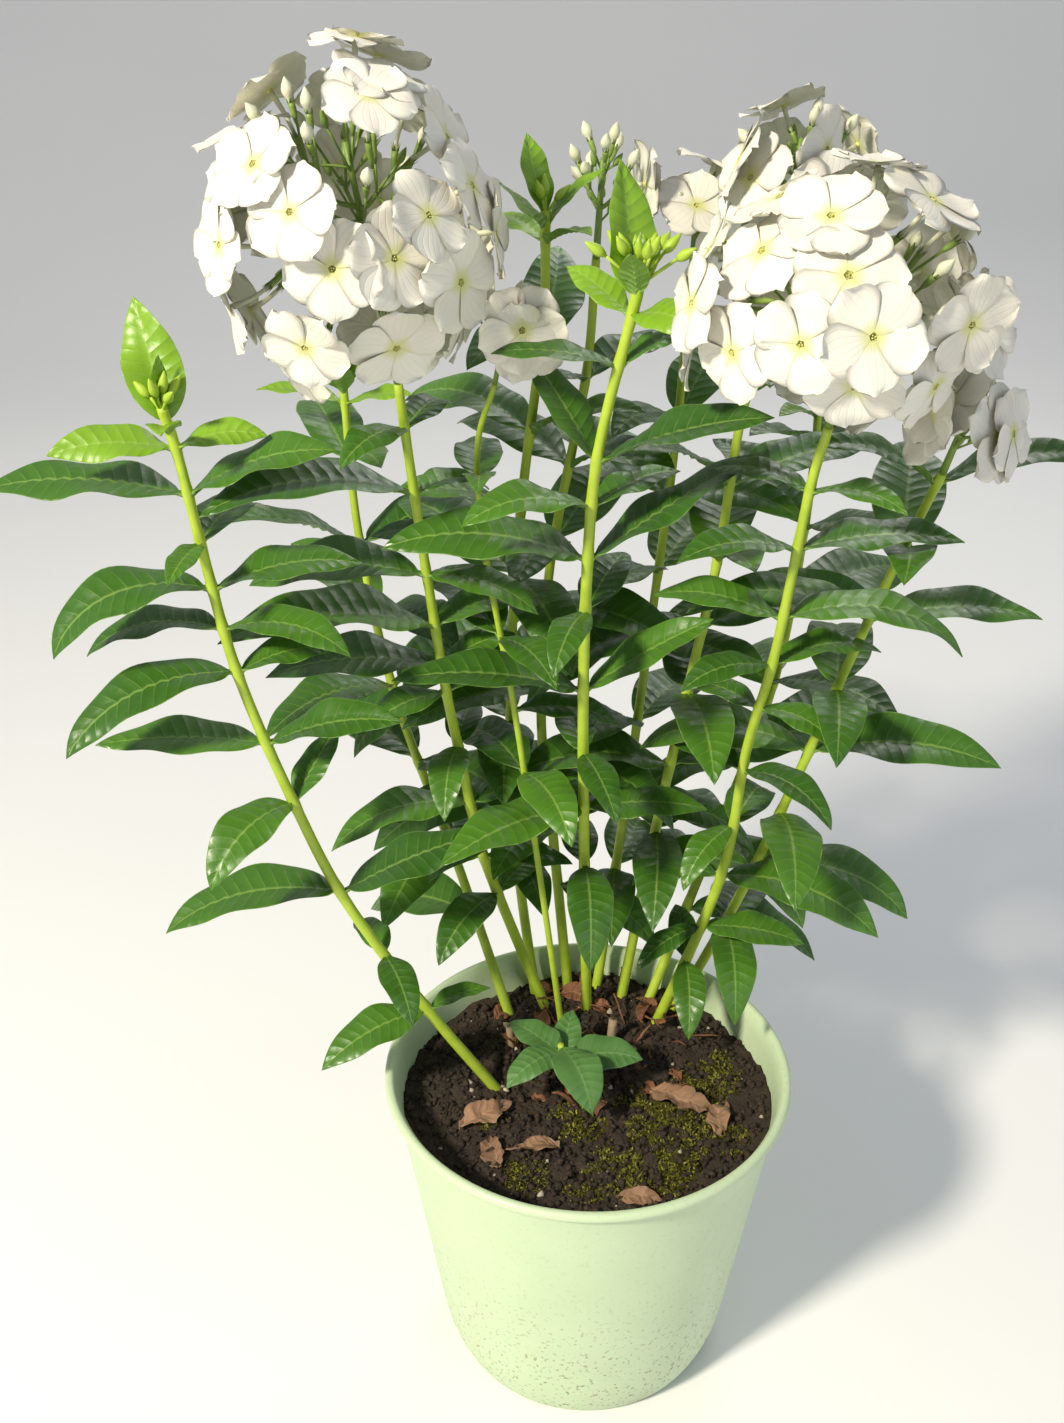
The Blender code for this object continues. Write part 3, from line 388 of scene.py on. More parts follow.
def circle(radius, sides):
    """Points evenly round the pot's axis, as (x, y)."""
    angles = [2 * math.pi * k / sides for k in range(sides)]
    return [(radius * math.cos(a), radius * math.sin(a)) for a in angles]


def tube_rings(centres, radii, sides):
    """Rings of vertices round a line of centres."""
    reference = across((centres[-1] - centres[0]).normalized())[0]
    verts = []
    for i, centre in enumerate(centres):
        ahead = (centres[min(i + 1, len(centres) - 1)] - centres[max(i - 1, 0)]).normalized()
        side = (reference - ahead * reference.dot(ahead)).normalized()
        up = ahead.cross(side)
        verts += [round_point(centre, side, up, 2 * math.pi * k / sides, radii[i]) for k in range(sides)]
    return verts


def ring_quads(rings, sides):
    """The faces between rings of vertices."""
    quads = []
    for start in range(0, (rings - 1) * sides, sides):
        for k in range(sides):
            a, b = start + k, start + (k + 1) % sides
            quads.append((a, b, b + sides, a + sides))
    return quads


def stretched(direction, spread):
    """A direction scaled by the half sizes of a dome."""
    return Vector(direction[i] * spread[i] for i in range(3))


def scattered(draw, size):
    return Vector((draw.gauss(0, size), draw.gauss(0, size), draw.gauss(0, size)))


def extent(verts):
    """The lowest and the highest corner of a shape's box."""
    return [Vector(pick(v[i] for v in verts) for i in range(3)) for pick in (min, max)]


def leaf_half_width(leaf, s):
    """Half the width at share s of the length: a short stalk, widest at two fifths, a long point."""
    u = max(0.0, (s - LEAF_STALK) / (1 - LEAF_STALK))
    outline = u ** LEAF_BASE_CURVE * (1 - u) ** LEAF_TIP_CURVE / LEAF_OUTLINE_PEAK
    half = leaf.length * LEAF_WIDTH_RATIO * leaf.broad / 2
    return max(LEAF_LEAST_HALF_WIDTH * (1 - s) ** 0.5, half * outline)


def leaf_spine(leaf):
    """Points and frames along the midrib: (point, direction, side, up) at each step."""
    point = leaf.root.copy()
    frames = []
    for i in range(SPINE_STEPS + 1):
        s = i / SPINE_STEPS
        direction = heading(leaf.azimuth + leaf.sweep * s, leaf.rise - leaf.droop * s ** 1.25)
        level = heading(leaf.azimuth + leaf.sweep * s - 90, 0)
        turn = Matrix.Rotation(math.radians(leaf.roll * s), 3, direction)
        side = turn @ level
        up = side.cross(direction).normalized()
        frames.append((point.copy(), direction, side, up))
        point += direction * leaf.length / SPINE_STEPS
    return frames


def leaf_point(leaf, spine, s, t):
    """A point of the blade's middle sheet: s along it, t across it from -1 to 1."""
    x = s * SPINE_STEPS
    k = min(int(x), SPINE_STEPS - 1)
    low, high = spine[k], spine[k + 1]
    f = x - k
    centre = low[0].lerp(high[0], f)
    side = low[2].lerp(high[2], f).normalized()
    up = low[3].lerp(high[3], f).normalized()
    half = leaf_half_width(leaf, s)
    lift = math.sin(math.radians(leaf.fold)) * abs(t) - LEAF_ARCH * t * t
    wave = LEAF_WAVE * math.sin(2.6 * math.pi * s + leaf.phase + (1.3 if t > 0 else 0)) * t * t
    return centre + side * (half * t * 0.96) + up * (half * (lift + wave))


def blade_mesh(leaf, thickness=LEAF_THICKNESS):
    """The leaf as a closed solid: thick along the rib and thin at its two margins."""
    spine = leaf_spine(leaf)
    foot, _, side, up = spine[0]
    verts = [foot - side * 1.3 * MM + up * 0.7 * MM, foot + side * 1.3 * MM + up * 0.7 * MM,
             foot - up * 1.1 * MM]
    faces = [(0, 2, 1), (0, 1, 4), (0, 4, 3), (1, 5, 4), (1, 2, 5), (2, 6, 5), (2, 3, 6), (2, 0, 3)]
    stations = LEAF_STATIONS if leaf.length > SMALL_LEAF else SMALL_LEAF_STATIONS
    for s in stations:
        lift = spine[round(s * SPINE_STEPS)][3] * thickness / 2
        middle = leaf_point(leaf, spine, s, 0)
        verts += [leaf_point(leaf, spine, s, -1), middle + lift,
                  leaf_point(leaf, spine, s, 1), middle - lift]
    verts.append(leaf_point(leaf, spine, 1.0, 0))
    for ring in range(len(stations) - 1):
        a, b = 3 + 4 * ring, 7 + 4 * ring
        faces += [(a, a + 1, b + 1), (a, b + 1, b), (a + 1, a + 2, b + 1), (a + 2, b + 2, b + 1)]
        faces += [(a, b + 3, a + 3), (a, b, b + 3), (a + 3, b + 3, a + 2), (a + 2, b + 3, b + 2)]
    last, tip = len(verts) - 5, len(verts) - 1
    faces += [(last, last + 1, tip), (last + 1, last + 2, tip)]
    faces += [(last + 3, last, tip), (last + 2, last + 3, tip)]
    return verts, faces


def rings_mesh(centres, radii, sides, pointed=False):
    """A closed tube through rings of vertices. With pointed, it ends in one vertex."""
    count = len(centres) - (1 if pointed else 0)
    verts = tube_rings(centres, radii, sides)[:count * sides]
    faces = []
    for a, b, c, d in ring_quads(count, sides):
        faces += [(a, b, c), (a, c, d)]
    faces += [(0, k + 1, k) for k in range(1, sides - 1)]
    end = (count - 1) * sides
    if pointed:
        verts.append(centres[-1].copy())
        faces += [(end + k, end + (k + 1) % sides, len(verts) - 1) for k in range(sides)]
    else:
        faces += [(end, end + k, end + k + 1) for k in range(1, sides - 1)]
    return verts, faces


def stem_mesh(stem, extra=0.0, rings=STEM_RINGS):
    route = smooth_route(stem.path, rings)
    radii = [
        stem.foot_radius + (stem.tip_radius - stem.foot_radius) * i / (rings - 1) + extra
        for i in range(rings)
    ]
    return rings_mesh(route, radii, STEM_SIDES)


def floret_mesh(floret):
    """Stalk, tube and five spread petals as one closed solid."""
    facing = floret.facing
    side, up = across(facing)
    throat = floret.mouth - facing * 1.8 * MM

    def around(centre, angle, radius):
        return round_point(centre, side, up, floret.turn + angle, radius)

    step = 2 * math.pi / PETALS
    third = 2 * math.pi / 3
    verts = [around(floret.root, k * third, PEDICEL_RADIUS) for k in range(3)]
    verts += [around(throat, k * third, CALYX_RADIUS) for k in range(3)]
    verts.append(floret.mouth - facing * 0.3 * MM)
    lift = facing * floret.radius
    rise = floret.cup * PETAL_RISE
    first, second = PETAL_SPAN
    for k in range(PETALS):
        verts += [
            around(floret.mouth, k * step, floret.radius * PETAL_NOTCH) + lift * 0.5 * rise,
            around(floret.mouth, (k + first) * step, floret.radius) + lift * (rise + PETAL_TWIST),
            around(floret.mouth, (k + second) * step, floret.radius) + lift * (rise - PETAL_TWIST),
        ]
    faces = [(0, 2, 1)]
    for k in range(3):
        n = (k + 1) % 3
        faces += [(k, n, n + 3), (k, n + 3, k + 3)]
        rim = [7 + (5 * k + j) % 15 for j in range(6)]
        faces += [(k + 3, rim[j + 1], rim[j]) for j in range(3)]
        faces += [(k + 3, n + 3, rim[3]), (n + 3, rim[4], rim[3]), (n + 3, rim[5], rim[4])]
    faces += [(6, 7 + j, 7 + (j + 1) % 15) for j in range(15)]
    return verts, faces


def bud_mesh(bud):
    share, sides = (0.35, 3) if bud.green else (0.6, 4)
    centres = [bud.root, bud.neck.lerp(bud.tip, share), bud.tip]
    return rings_mesh(centres, (PEDICEL_RADIUS, bud.radius, 0), sides, pointed=True)


def branch_mesh(branch):
    reach = (branch.end - branch.start).normalized() * 0.6 * MM
    centres = [branch.start, branch.end + reach]
    return rings_mesh(centres, (branch.radius, branch.radius * 0.85), 3)


class Crowd:
    """Shapes already placed, to keep what is placed next clear of them."""

    def __init__(self):
        self.items = []

    def add(self, owner, verts, faces):
        self.items.append((owner, *extent(verts), BVHTree.FromPolygons(verts, faces)))

    def hits(self, verts, faces, skip=(), own=None):
        """Counts the placed shapes that this one would cross, those of other owners as many."""
        low, high = extent(verts)
        tree = BVHTree.FromPolygons(verts, faces)
        found = 0
        for owner, other_low, other_high, other in self.items:
            if owner in skip or any(low[i] > other_high[i] or high[i] < other_low[i] for i in range(3)):
                continue
            if tree.overlap(other):
                found += 1 if own and owner == own else FOREIGN_HIT
        return found


def plan_stems():
    stems = {}
    for name, route in STEM_ROUTES.items():
        points = [mm(p) for p in route]
        start = points[0] - (points[1] - points[0]).normalized() * STEM_ROOT_DEPTH
        thin = 0.62 if name == "slender" else 1.0
        stems[name] = Stem(name, [start, *points], STEM_FOOT_RADIUS * thin, STEM_TIP_RADIUS * thin)
    low = [mm(LOW_SHOOT_FOOT), mm(LOW_SHOOT_TOP)]
    start = low[0] - (low[1] - low[0]).normalized() * STEM_ROOT_DEPTH * 0.6
    stems["low_shoot"] = Stem("low_shoot", [start, *low], 2.0 * MM, 1.6 * MM)
    return stems


def head_axis(stem, centre, half_height):
    """Start and end of a head's own stalk, which goes on where its stem ends."""
    start = stem.path[-1]
    end = centre + Vector((0, 0, half_height * 0.45))
    lead = (end - start).normalized()
    return start + lead * GAP, end


def dome_seats(count, reach_down, draw):
    """Outward directions spread over a dome, in bunches that share one fork each."""
    seats = []
    for i in range(count):
        upright = 1 - reach_down * (i + 0.5) / count
        around = i * GOLDEN_TURN + draw.uniform(-0.12, 0.12)
        level = math.sqrt(max(0.0, 1 - upright * upright))
        seats.append(Vector((level * math.cos(around), level * math.sin(around), upright)))
    bunches = []
    while seats:
        first = seats.pop(0)
        near = sorted(seats, key=lambda seat: -seat.dot(first))[:3]
        seats = [seat for seat in seats if not any(seat is other for other in near)]
        bunches.append([first, *near])
    return bunches


def plan_head(name, stem, crowd):
    """Florets over a dome, turned outwards, in bunches on forks of one central stalk."""
    _, centre, half_width, half_height, reach_down, open_count, white_count, green_count = HEAD_FORMS[name]
    draw = random.Random(name)
    centre = mm(centre)
    spread = Vector((half_width, half_width, half_height)) * MM
    start, end = head_axis(stem, centre, spread.z)
    head = Head(name, stem.name, [Branch(start, end, stem.tip_radius * 0.8)])
    total = open_count + white_count
    closed = set(draw.sample(range(total), white_count))
    done = 0
    for bunch in dome_seats(total, reach_down, draw):
        lead = sum(bunch, Vector()) / len(bunch)
        elbow = centre + stretched(lead, spread) * ELBOW_SHARE
        elbow.z = max(elbow.z - ELBOW_DROP, start.z + ELBOW_DROP)
        share = (elbow.z - FORK_DROP - start.z) / (end.z - start.z)
        fork = start.lerp(end, min(0.95, max(0.06, share)))
        head.branches.append(Branch(fork, elbow, BRANCH_RADIUS))
        for normal in bunch:
            if name in FACES_FRONT and normal.y > 0.2:
                normal = Vector((normal.x, -normal.y, normal.z))
            root = fork.lerp(elbow, draw.uniform(0.8, 1.0))
            place = place_bud if done in closed else place_floret
            place(head, root, centre, normal, spread, draw, crowd)
            done += 1
    for i in range(green_count):
        normal = heading(i * 137.5, draw.uniform(5, 80))
        fork = start.lerp(end, 0.35 + 0.6 * i / green_count)
        neck = fork + stretched(normal, spread) * draw.uniform(0.3, 0.5)
        tip = neck + (normal + Vector((0, 0, 0.6))).normalized() * GREEN_BUD_LENGTH
        head.buds.append(Bud(fork, neck, tip, GREEN_BUD_RADIUS, True))
        add_if_clear(head, head.buds, bud_mesh, crowd)
    for branch in head.branches:
        crowd.add(head.name, *branch_mesh(branch))
    return head


def add_if_clear(head, items, mesh_of, crowd):
    """Keeps the last item of a list only if it crosses nothing outside its own head."""
    shape = mesh_of(items[-1])
    if crowd.hits(*shape, own=head.name) >= FOREIGN_HIT:
        items.pop()
    else:
        crowd.add(head.name, *shape)


def place_bud(head, root, centre, normal, spread, draw, crowd):
    tip = centre + stretched(normal, spread) * draw.uniform(0.72, 0.95) + Vector((0, 0, 8 * MM))
    lean = (tip - root).normalized()
    bud = Bud(root, tip - lean * (BUD_LENGTH + 6 * MM), tip, BUD_RADIUS, False)
    head.buds.append(bud)
    add_if_clear(head, head.buds, bud_mesh, crowd)


def place_floret(head, root, centre, normal, spread, draw, crowd):
    """Tries seats, depths and tilts, and keeps the one that crosses the fewest neighbours."""
    best = None
    for attempt in range(SEAT_TRIES):
        loose = 0.04 + 0.5 * attempt / SEAT_TRIES
        spot = (normal + scattered(draw, loose) * 0.7).normalized()
        facing = (spot + scattered(draw, loose) * 0.8 + Vector((0, 0, 0.2))).normalized()
        narrow = 1 - 0.26 * max(0.0, spot.z)
        out = Vector((spot.x * spread.x * narrow, spot.y * spread.y * narrow, spot.z * spread.z))
        mouth = centre + out * draw.uniform(0.98 - 0.22 * attempt / SEAT_TRIES, 1.08)
        floret = Floret(root, mouth, facing, FLORET_RADIUS * draw.uniform(0.90, 1.05),
                        draw.uniform(0, RANDOM_TURN), draw.uniform(-0.6, 1.0), draw.randrange(10 ** 6))
        if (mouth - root).dot(facing) < 0.6 * (mouth - root).length:
            continue
        crossed = crowd.hits(*floret_mesh(floret), own=head.name)
        if best is None or crossed < best[0]:
            best = (crossed, floret)
        if not crossed:
            break
    if best and best[0] < FOREIGN_HIT:
        head.florets.append(best[1])
        crowd.add(head.name, *floret_mesh(best[1]))


def place_leaf(stem, leaf, crowd):
    """Turns, lifts or shortens a leaf until it is clear of everything placed before it."""
    for length in (1.0, 0.86, 0.72):
        for rise in (0, 9, -9, 18, -18):
            for turn in (0, 8, -8, 16, -16, 25, -25, 36, -36):
                tried = replace(leaf, azimuth=leaf.azimuth + turn, rise=leaf.rise + rise,
                                length=leaf.length * length)
                guard = replace(tried, length=tried.length * 1.04, broad=tried.broad * 1.14)
                shape = blade_mesh(guard, CLEAR_LEAF_THICKNESS)
                if not crowd.hits(*shape, skip=(stem.name + "_shaft",)):
                    crowd.add(stem.name, *shape)
                    stem.leaves.append(tried)
                    return


def new_leaf(stem, route, height, azimuth, size, draw, youth=0.0, broad=1.0):
    length, rise, droop = size
    # Halfway between the smooth curve and the faceted stem, so that the leaf joins either
    faceted = smooth_route(stem.path, STEM_RINGS)
    node = point_at_height(route, height * MM).lerp(point_at_height(faceted, height * MM), 0.5)
    root = node + heading(azimuth, 0) * stem.tip_radius * 0.25
    return Leaf(root, azimuth + draw.uniform(-4, 4), length * MM, rise, droop,
                sweep=draw.uniform(-16, 16),
                roll=draw.uniform(-16, 16) + TURN_TO_LIGHT * math.cos(math.radians(azimuth)),
                fold=draw.uniform(11, 22), broad=broad * draw.uniform(0.92, 1.08),
                phase=draw.uniform(0, RANDOM_TURN), youth=youth)


def ruled_pairs(rule, draw):
    """Leaf pairs of a stem with no pairs of its own in the list: each a quarter turn on."""
    lowest, highest, internode, azimuth, longest = rule
    pairs = []
    height = lowest
    while height <= highest:
        share = (height - lowest) / max(1, highest - lowest)
        size = longest * (0.74 + 0.52 * math.sin(math.pi * (0.15 + 0.7 * share)) - 0.24 * share)
        leaves = []
        for turn in (0, 180):
            in_front = max(0.0, -math.sin(math.radians(azimuth + turn)))
            leaves.append((size * draw.uniform(0.88, 1.06) * (1 - 0.24 * in_front),
                           8 + 26 * share + draw.uniform(-6, 8), 72 - 34 * share + draw.uniform(-18, 18)))
        pairs.append((height, azimuth, *leaves))
        azimuth += 90 + draw.uniform(-10, 10)
        height += internode * draw.uniform(0.9, 1.1)
    return pairs


def plan_tuft(stem, turn, bud_count, draw, crowd):
    """Young leaves held round the tip of a stem, smaller and steeper inwards."""
    route = smooth_route(stem.path, ROUTE_STEPS)
    top = stem.path[-1].z / MM
    for below, azimuth, length, rise, droop, broad, roll in TUFT_ROWS.get(stem.name, PLAIN_TUFT):
        leaf = new_leaf(stem, route, top - below, turn + azimuth, (length, rise, droop), draw,
                        youth=0.85, broad=broad)
        leaf.roll += roll
        place_leaf(stem, leaf, crowd)
    tip = stem.path[-1]
    for i in range(bud_count):
        lean = heading(turn + 137.5 * i + 340, 78 - 52 * i / bud_count)
        reach = (6 + (12 * i / bud_count if bud_count > 6 else 0)) * MM
        root = tip - Vector((0, 0, 2 * MM))
        stem.buds.append(Bud(root, tip + lean * reach, tip + lean * (reach + 9 * MM), 2.1 * MM, True))


def plan_leaves(stems, crowd):
    for name, stem in stems.items():
        if name == "low_shoot":
            continue
        draw = random.Random("leaves " + name)
        route = smooth_route(stem.path, ROUTE_STEPS)
        pairs = LEAF_PAIRS.get(name) or ruled_pairs(LEAF_RULES[name], draw)
        for height, azimuth, first, second in pairs:
            for size, away in ((first, 0), (second, 180)):
                place_leaf(stem, new_leaf(stem, route, height, azimuth + away, size, draw), crowd)
        if name in TUFTS:
            plan_tuft(stem, *TUFTS[name], draw, crowd)


def plan_low_shoot(stem, crowd):
    draw = random.Random("low shoot")
    route = smooth_route(stem.path, ROUTE_STEPS)
    top = stem.path[-1].z / MM
    for k, (azimuth, length, rise, droop) in enumerate([
        (292, 44, 16, 84), (214, 38, 18, 62), (160, 36, 26, 44), (356, 42, 22, 44), (84, 32, 34, 30),
    ]):
        leaf = new_leaf(stem, route, top - 2 - 3.4 * k, azimuth, (length, rise, droop), draw,
                        youth=0.45, broad=1.4)
        place_leaf(stem, leaf, crowd)


def plan_stubs(crowd):
    """Cut ends of old stems, leaning a little, as (name, foot, top, radius)."""
    stubs = []
    for k, (x, y, azimuth, height, radius) in enumerate(STUBS):
        ground = Vector((x * MM, y * MM, soil_height(x * MM, y * MM)))
        lean = heading(azimuth, 80)
        stub = (f"old_stub_{k + 1}", ground - lean * 9 * MM, ground + lean * height * MM, radius * MM)
        stubs.append(stub)
        crowd.add(stub[0], *rings_mesh([stub[1], stub[2]], (stub[3] + 0.8 * MM,) * 2, 6))
    return stubs


def plan_dry_leaves(crowd):
    """Curled leaves lowered on to the soil until they all but touch it."""
    draw = random.Random("dry leaves")
    ground = BVHTree.FromPolygons(*soil_mesh())
    fallen = []
    for x, y, azimuth, length, curl in DRY_LEAVES:
        root = Vector((x * MM, y * MM, SOIL_TOP + 20 * MM))
        leaf = Leaf(root, azimuth, length * MM, 12 * curl, 40 * curl, sweep=draw.uniform(-50, 50),
                    roll=draw.uniform(-40, 40), fold=draw.uniform(20, 34), broad=1.15,
                    phase=draw.uniform(0, RANDOM_TURN), youth=0.0)
        step = 8 * MM
        while step > 0.05 * MM:
            leaf.root = leaf.root - Vector((0, 0, step))
            if BVHTree.FromPolygons(*blade_mesh(leaf)).overlap(ground):
                leaf.root = leaf.root + Vector((0, 0, step))
                step /= 2
        leaf.root = leaf.root + Vector((0, 0, 0.2 * MM))
        shape = blade_mesh(leaf, CLEAR_LEAF_THICKNESS)
        if not crowd.hits(*shape):
            crowd.add("dry", *shape)
            fallen.append(leaf)
    return fallen


def plan_plant():
    """Every stem, leaf and head, placed clear of each other. The same each run."""
    crowd = Crowd()
    stems = plan_stems()
    for stem in stems.values():
        crowd.add(stem.name + "_shaft", *stem_mesh(stem, extra=0.8 * MM, rings=20))
    heads = {}
    for name in HEAD_FORMS:
        heads[name] = plan_head(name, stems[HEAD_FORMS[name][0]], crowd)
    plan_leaves(stems, crowd)
    stubs = plan_stubs(crowd)
    plan_low_shoot(stems["low_shoot"], crowd)
    return stems, heads, stubs, plan_dry_leaves(crowd)


def outer_radius(height):
    """The pot wall's outer radius at a height: a straight taper, drawn in round the heel."""
    low, high = POT_WALL_RADII
    share = height / (POT_HEIGHT - POT_LIP_HEIGHT)
    heel = max(0.0, 1 - height / POT_HEEL_HEIGHT) ** 2
    return low + (high - low) * share - POT_HEEL_INSET * heel


def inner_radius(height):
    return outer_radius(height) - POT_WALL


def soil_height(x, y):
    """The soil's surface: raised round the crown, uneven elsewhere."""
    away = (Vector((x, y)) - CROWN.xy).length
    mound = CROWN_MOUND * math.exp(-(away / CROWN_SPREAD) ** 2)
    uneven = 1.6 * MM * math.sin(x * 78 + 1.1) * math.cos(y * 66 - 0.4)
    return SOIL_TOP - 3 * MM + mound + uneven


def soil_mesh():
    """A closed plug that fills the pot, its top following soil_height."""
    bottom = POT_FLOOR + GAP
    rows = [(inner_radius(z) - SOIL_INSET, z) for z in (bottom, POT_HEEL_HEIGHT)]
    edge = inner_radius(SOIL_TOP) - SOIL_INSET
    rows += [(edge * (SOIL_RINGS - i) / SOIL_RINGS, None) for i in range(SOIL_RINGS)]
    verts, faces = [Vector((0, 0, bottom))], []
    for radius, height in rows:
        for x, y in circle(radius, POT_SIDES):
            verts.append(Vector((x, y, soil_height(x, y) if height is None else height)))
    verts.append(Vector((0, 0, soil_height(0, 0))))
    last = 1 + (len(rows) - 1) * POT_SIDES
    for k in range(POT_SIDES):
        n = (k + 1) % POT_SIDES
        faces.append((0, n + 1, k + 1))
        for row in range(len(rows) - 1):
            a, b = 1 + row * POT_SIDES, 1 + (row + 1) * POT_SIDES
            faces += [(a + k, a + n, b + n), (a + k, b + n, b + k)]
        faces.append((last + k, last + n, len(verts) - 1))
    return verts, faces


# Finer versions of the same plant

# Material slots of a leafy stem and of a head
LEAF_GREEN_SLOT, STEM_GREEN_SLOT = 0, 1
PETAL_SLOT, CALYX_SLOT, THROAT_SLOT, BUD_SLOT = 0, 1, 2, 3

# Fine leaves: rows and columns of points, side veins, and the relief of the blade
LEAF_GRID, SMALL_LEAF_GRID = (30, 12), (20, 10)
LONG_LEAF = 45 * MM
FIRST_VEINS = 5
VEIN_SPACING = 9 * MM
VEIN_SLANT = 0.9
VEIN_SCALE = 20
LEAF_HALF_SHEET = 0.24 * MM
QUILT_DEPTH = 0.085
FRINGE_DEPTH, FRINGE_WAVES = 0.09, 15
RIB_WIDTH = 1.1 * MM
STALK_THICKNESS = 0.8 * MM

# Fine stems
STEM_STEPS = 90
FINE_STEM_SIDES = 12
STEM_SHARE, NODE_SWELL = 0.93, 0.16
NODE_LENGTH = 3 * MM

# Fine petals, in shares of the floret's radius
PETAL_GRID = (9, 6)
PETAL_START, PETAL_REACH = 0.07, 0.93
PETAL_HALF_SHEET = 0.17 * MM
CLAW_HALF_WIDTH, PETAL_SPREAD = 0.075, 0.43

# Points from the root of a floret to its throat: where the calyx starts and ends
FLORET_STEPS, CALYX_START, CALYX_END = 14, 4, 8

# Radii of a calyx in millimetres, and of the buds as shares of their own radius
CALYX_SIZES = (0.7, 1.15, 1.3, 1.3, 1.35)
BUD_CALYX_SIZES = (0.6, 1.1, 1.3, 1.35, 1.4)
GREEN_BUD_SIZES = (0.6, 1.3, 1.5, 1.3, 0.8, 0.15)
TUFT_BUD_SIZES = (0.5, 0.9, 1.0, 0.8, 0.5, 0.1)
WHITE_BUD_SIZES = (0.42, 0.46, 0.55, 0.78, 0.98, 1.0, 0.9, 0.68, 0.38, 0.06)

# Fine soil, its crumbs, and the moss patches in millimetres: place and size
FINE_SOIL_RINGS, FINE_SOIL_SIDES = 64, 220
CRUMBS = 3600
CRUMB_SIZES = (0.7, 0.9, 1.1, 1.4, 1.9, 2.6)
PALE_SHARE = 0.014
MOSS_PATCHES = [(46, -26, 27), (20, -54, 22), (62, 4, 19), (-6, -22, 15), (68, -34, 14), (-32, -60, 12),
                (28, -12, 15), (40, -58, 15), (-2, -66, 12), (74, 22, 12), (-50, -20, 10)]
MOSS_DENSITY = 1.7
MOSS_BLADES = 4
LITTER_SCRAPS = 64

POT_LATHE_SIDES = 128

# Seed of the vector noise, which would otherwise start from the clock
NOISE_SEED = 7


class Shape:
    """Gathers vertices, faces, two coordinates and four numbers a vertex for one mesh."""

    def __init__(self):
        self.verts, self.faces, self.slots, self.uvs, self.data = [], [], [], [], []

    def add(self, verts, faces, slot, uvs, data):
        base = len(self.verts)
        self.verts += [tuple(v) for v in verts]
        self.faces += [tuple(i + base for i in face) for face in faces]
        self.slots += [slot] * len(faces)
        self.uvs += uvs
        self.data += data if isinstance(data, list) else [data] * len(verts)

    def build(self, name, materials):
        mesh = bpy.data.meshes.new(name)
        mesh.from_pydata(self.verts, [], self.faces)
        for material in materials:
            mesh.materials.append(material)
        mesh.polygons.foreach_set("material_index", self.slots)
        mesh.polygons.foreach_set("use_smooth", [True] * len(self.faces))
        corners = np.empty(len(mesh.loops), dtype=np.int32)
        mesh.loops.foreach_get("vertex_index", corners)
        layer = mesh.uv_layers.new(name="UVMap")
        layer.data.foreach_set("uv", np.array(self.uvs, dtype=np.float32)[corners].ravel())
        marks = mesh.color_attributes.new("marks", "FLOAT_COLOR", "POINT")
        marks.data.foreach_set("color", np.array(self.data, dtype=np.float32).ravel())
        mesh.update()
        return in_scene(bpy.data.objects.new(name, mesh))


def in_scene(obj):
    bpy.context.scene.collection.objects.link(obj)
    return obj


def between(start, end, count):
    """Evenly spaced points from start to end."""
    return [start.lerp(end, i / count) for i in range(count + 1)]


def curved(start, control_a, control_b, end, count):
    """Points along a cubic curve with two control points."""
    points = []
    for i in range(count + 1):
        t = i / count
        points.append(start * (1 - t) ** 3 + control_a * 3 * t * (1 - t) ** 2
                      + control_b * 3 * t * t * (1 - t) + end * t ** 3)
    return points


def end_caps(count, sides):
    """One flat face over the first ring of vertices and one over the last."""
    return [tuple(range(sides - 1, -1, -1)), tuple(range(count - sides, count))]


def fine_tube(shape, centres, radii, sides, slot, data, closed=True):
    """A round tube through many centres, with flat ends unless it is left open."""
    verts = tube_rings(centres, radii, sides)
    uvs = [(k / sides, i / (len(centres) - 1)) for i in range(len(centres)) for k in range(sides)]
    faces = ring_quads(len(centres), sides)
    if closed:
        faces += end_caps(len(verts), sides)
    shape.add(verts, faces, slot, uvs, data)


def add_blade(shape, top, low, columns, slot, uvs, marks, mirrored=False):
    """Joins an upper and a lower sheet of points along their margins."""
    width, offset = columns + 1, len(top)
    starts = range(0, offset - width, width)
    faces = []
    for start in starts:
        for a in range(start, start + columns):
            b = a + width
            faces.append((b, b + 1, a + 1, a))
            faces.append((a + 1 + offset, b + 1 + offset, b + offset, a + offset))
    for a in starts:
        b = a + width
        faces.append((a + offset, b + offset, b, a))
        a, b = a + columns, b + columns
        faces.append((b, b + offset, a + offset, a))
    if mirrored:
        faces = [(c, b, a, d) for a, b, c, d in faces]
    tint, youth, veins = marks
    data = [(tint, youth, 0.0, veins)] * offset + [(tint, youth, 1.0, veins)] * offset
    shape.add(top + low, faces, slot, uvs * 2, data)


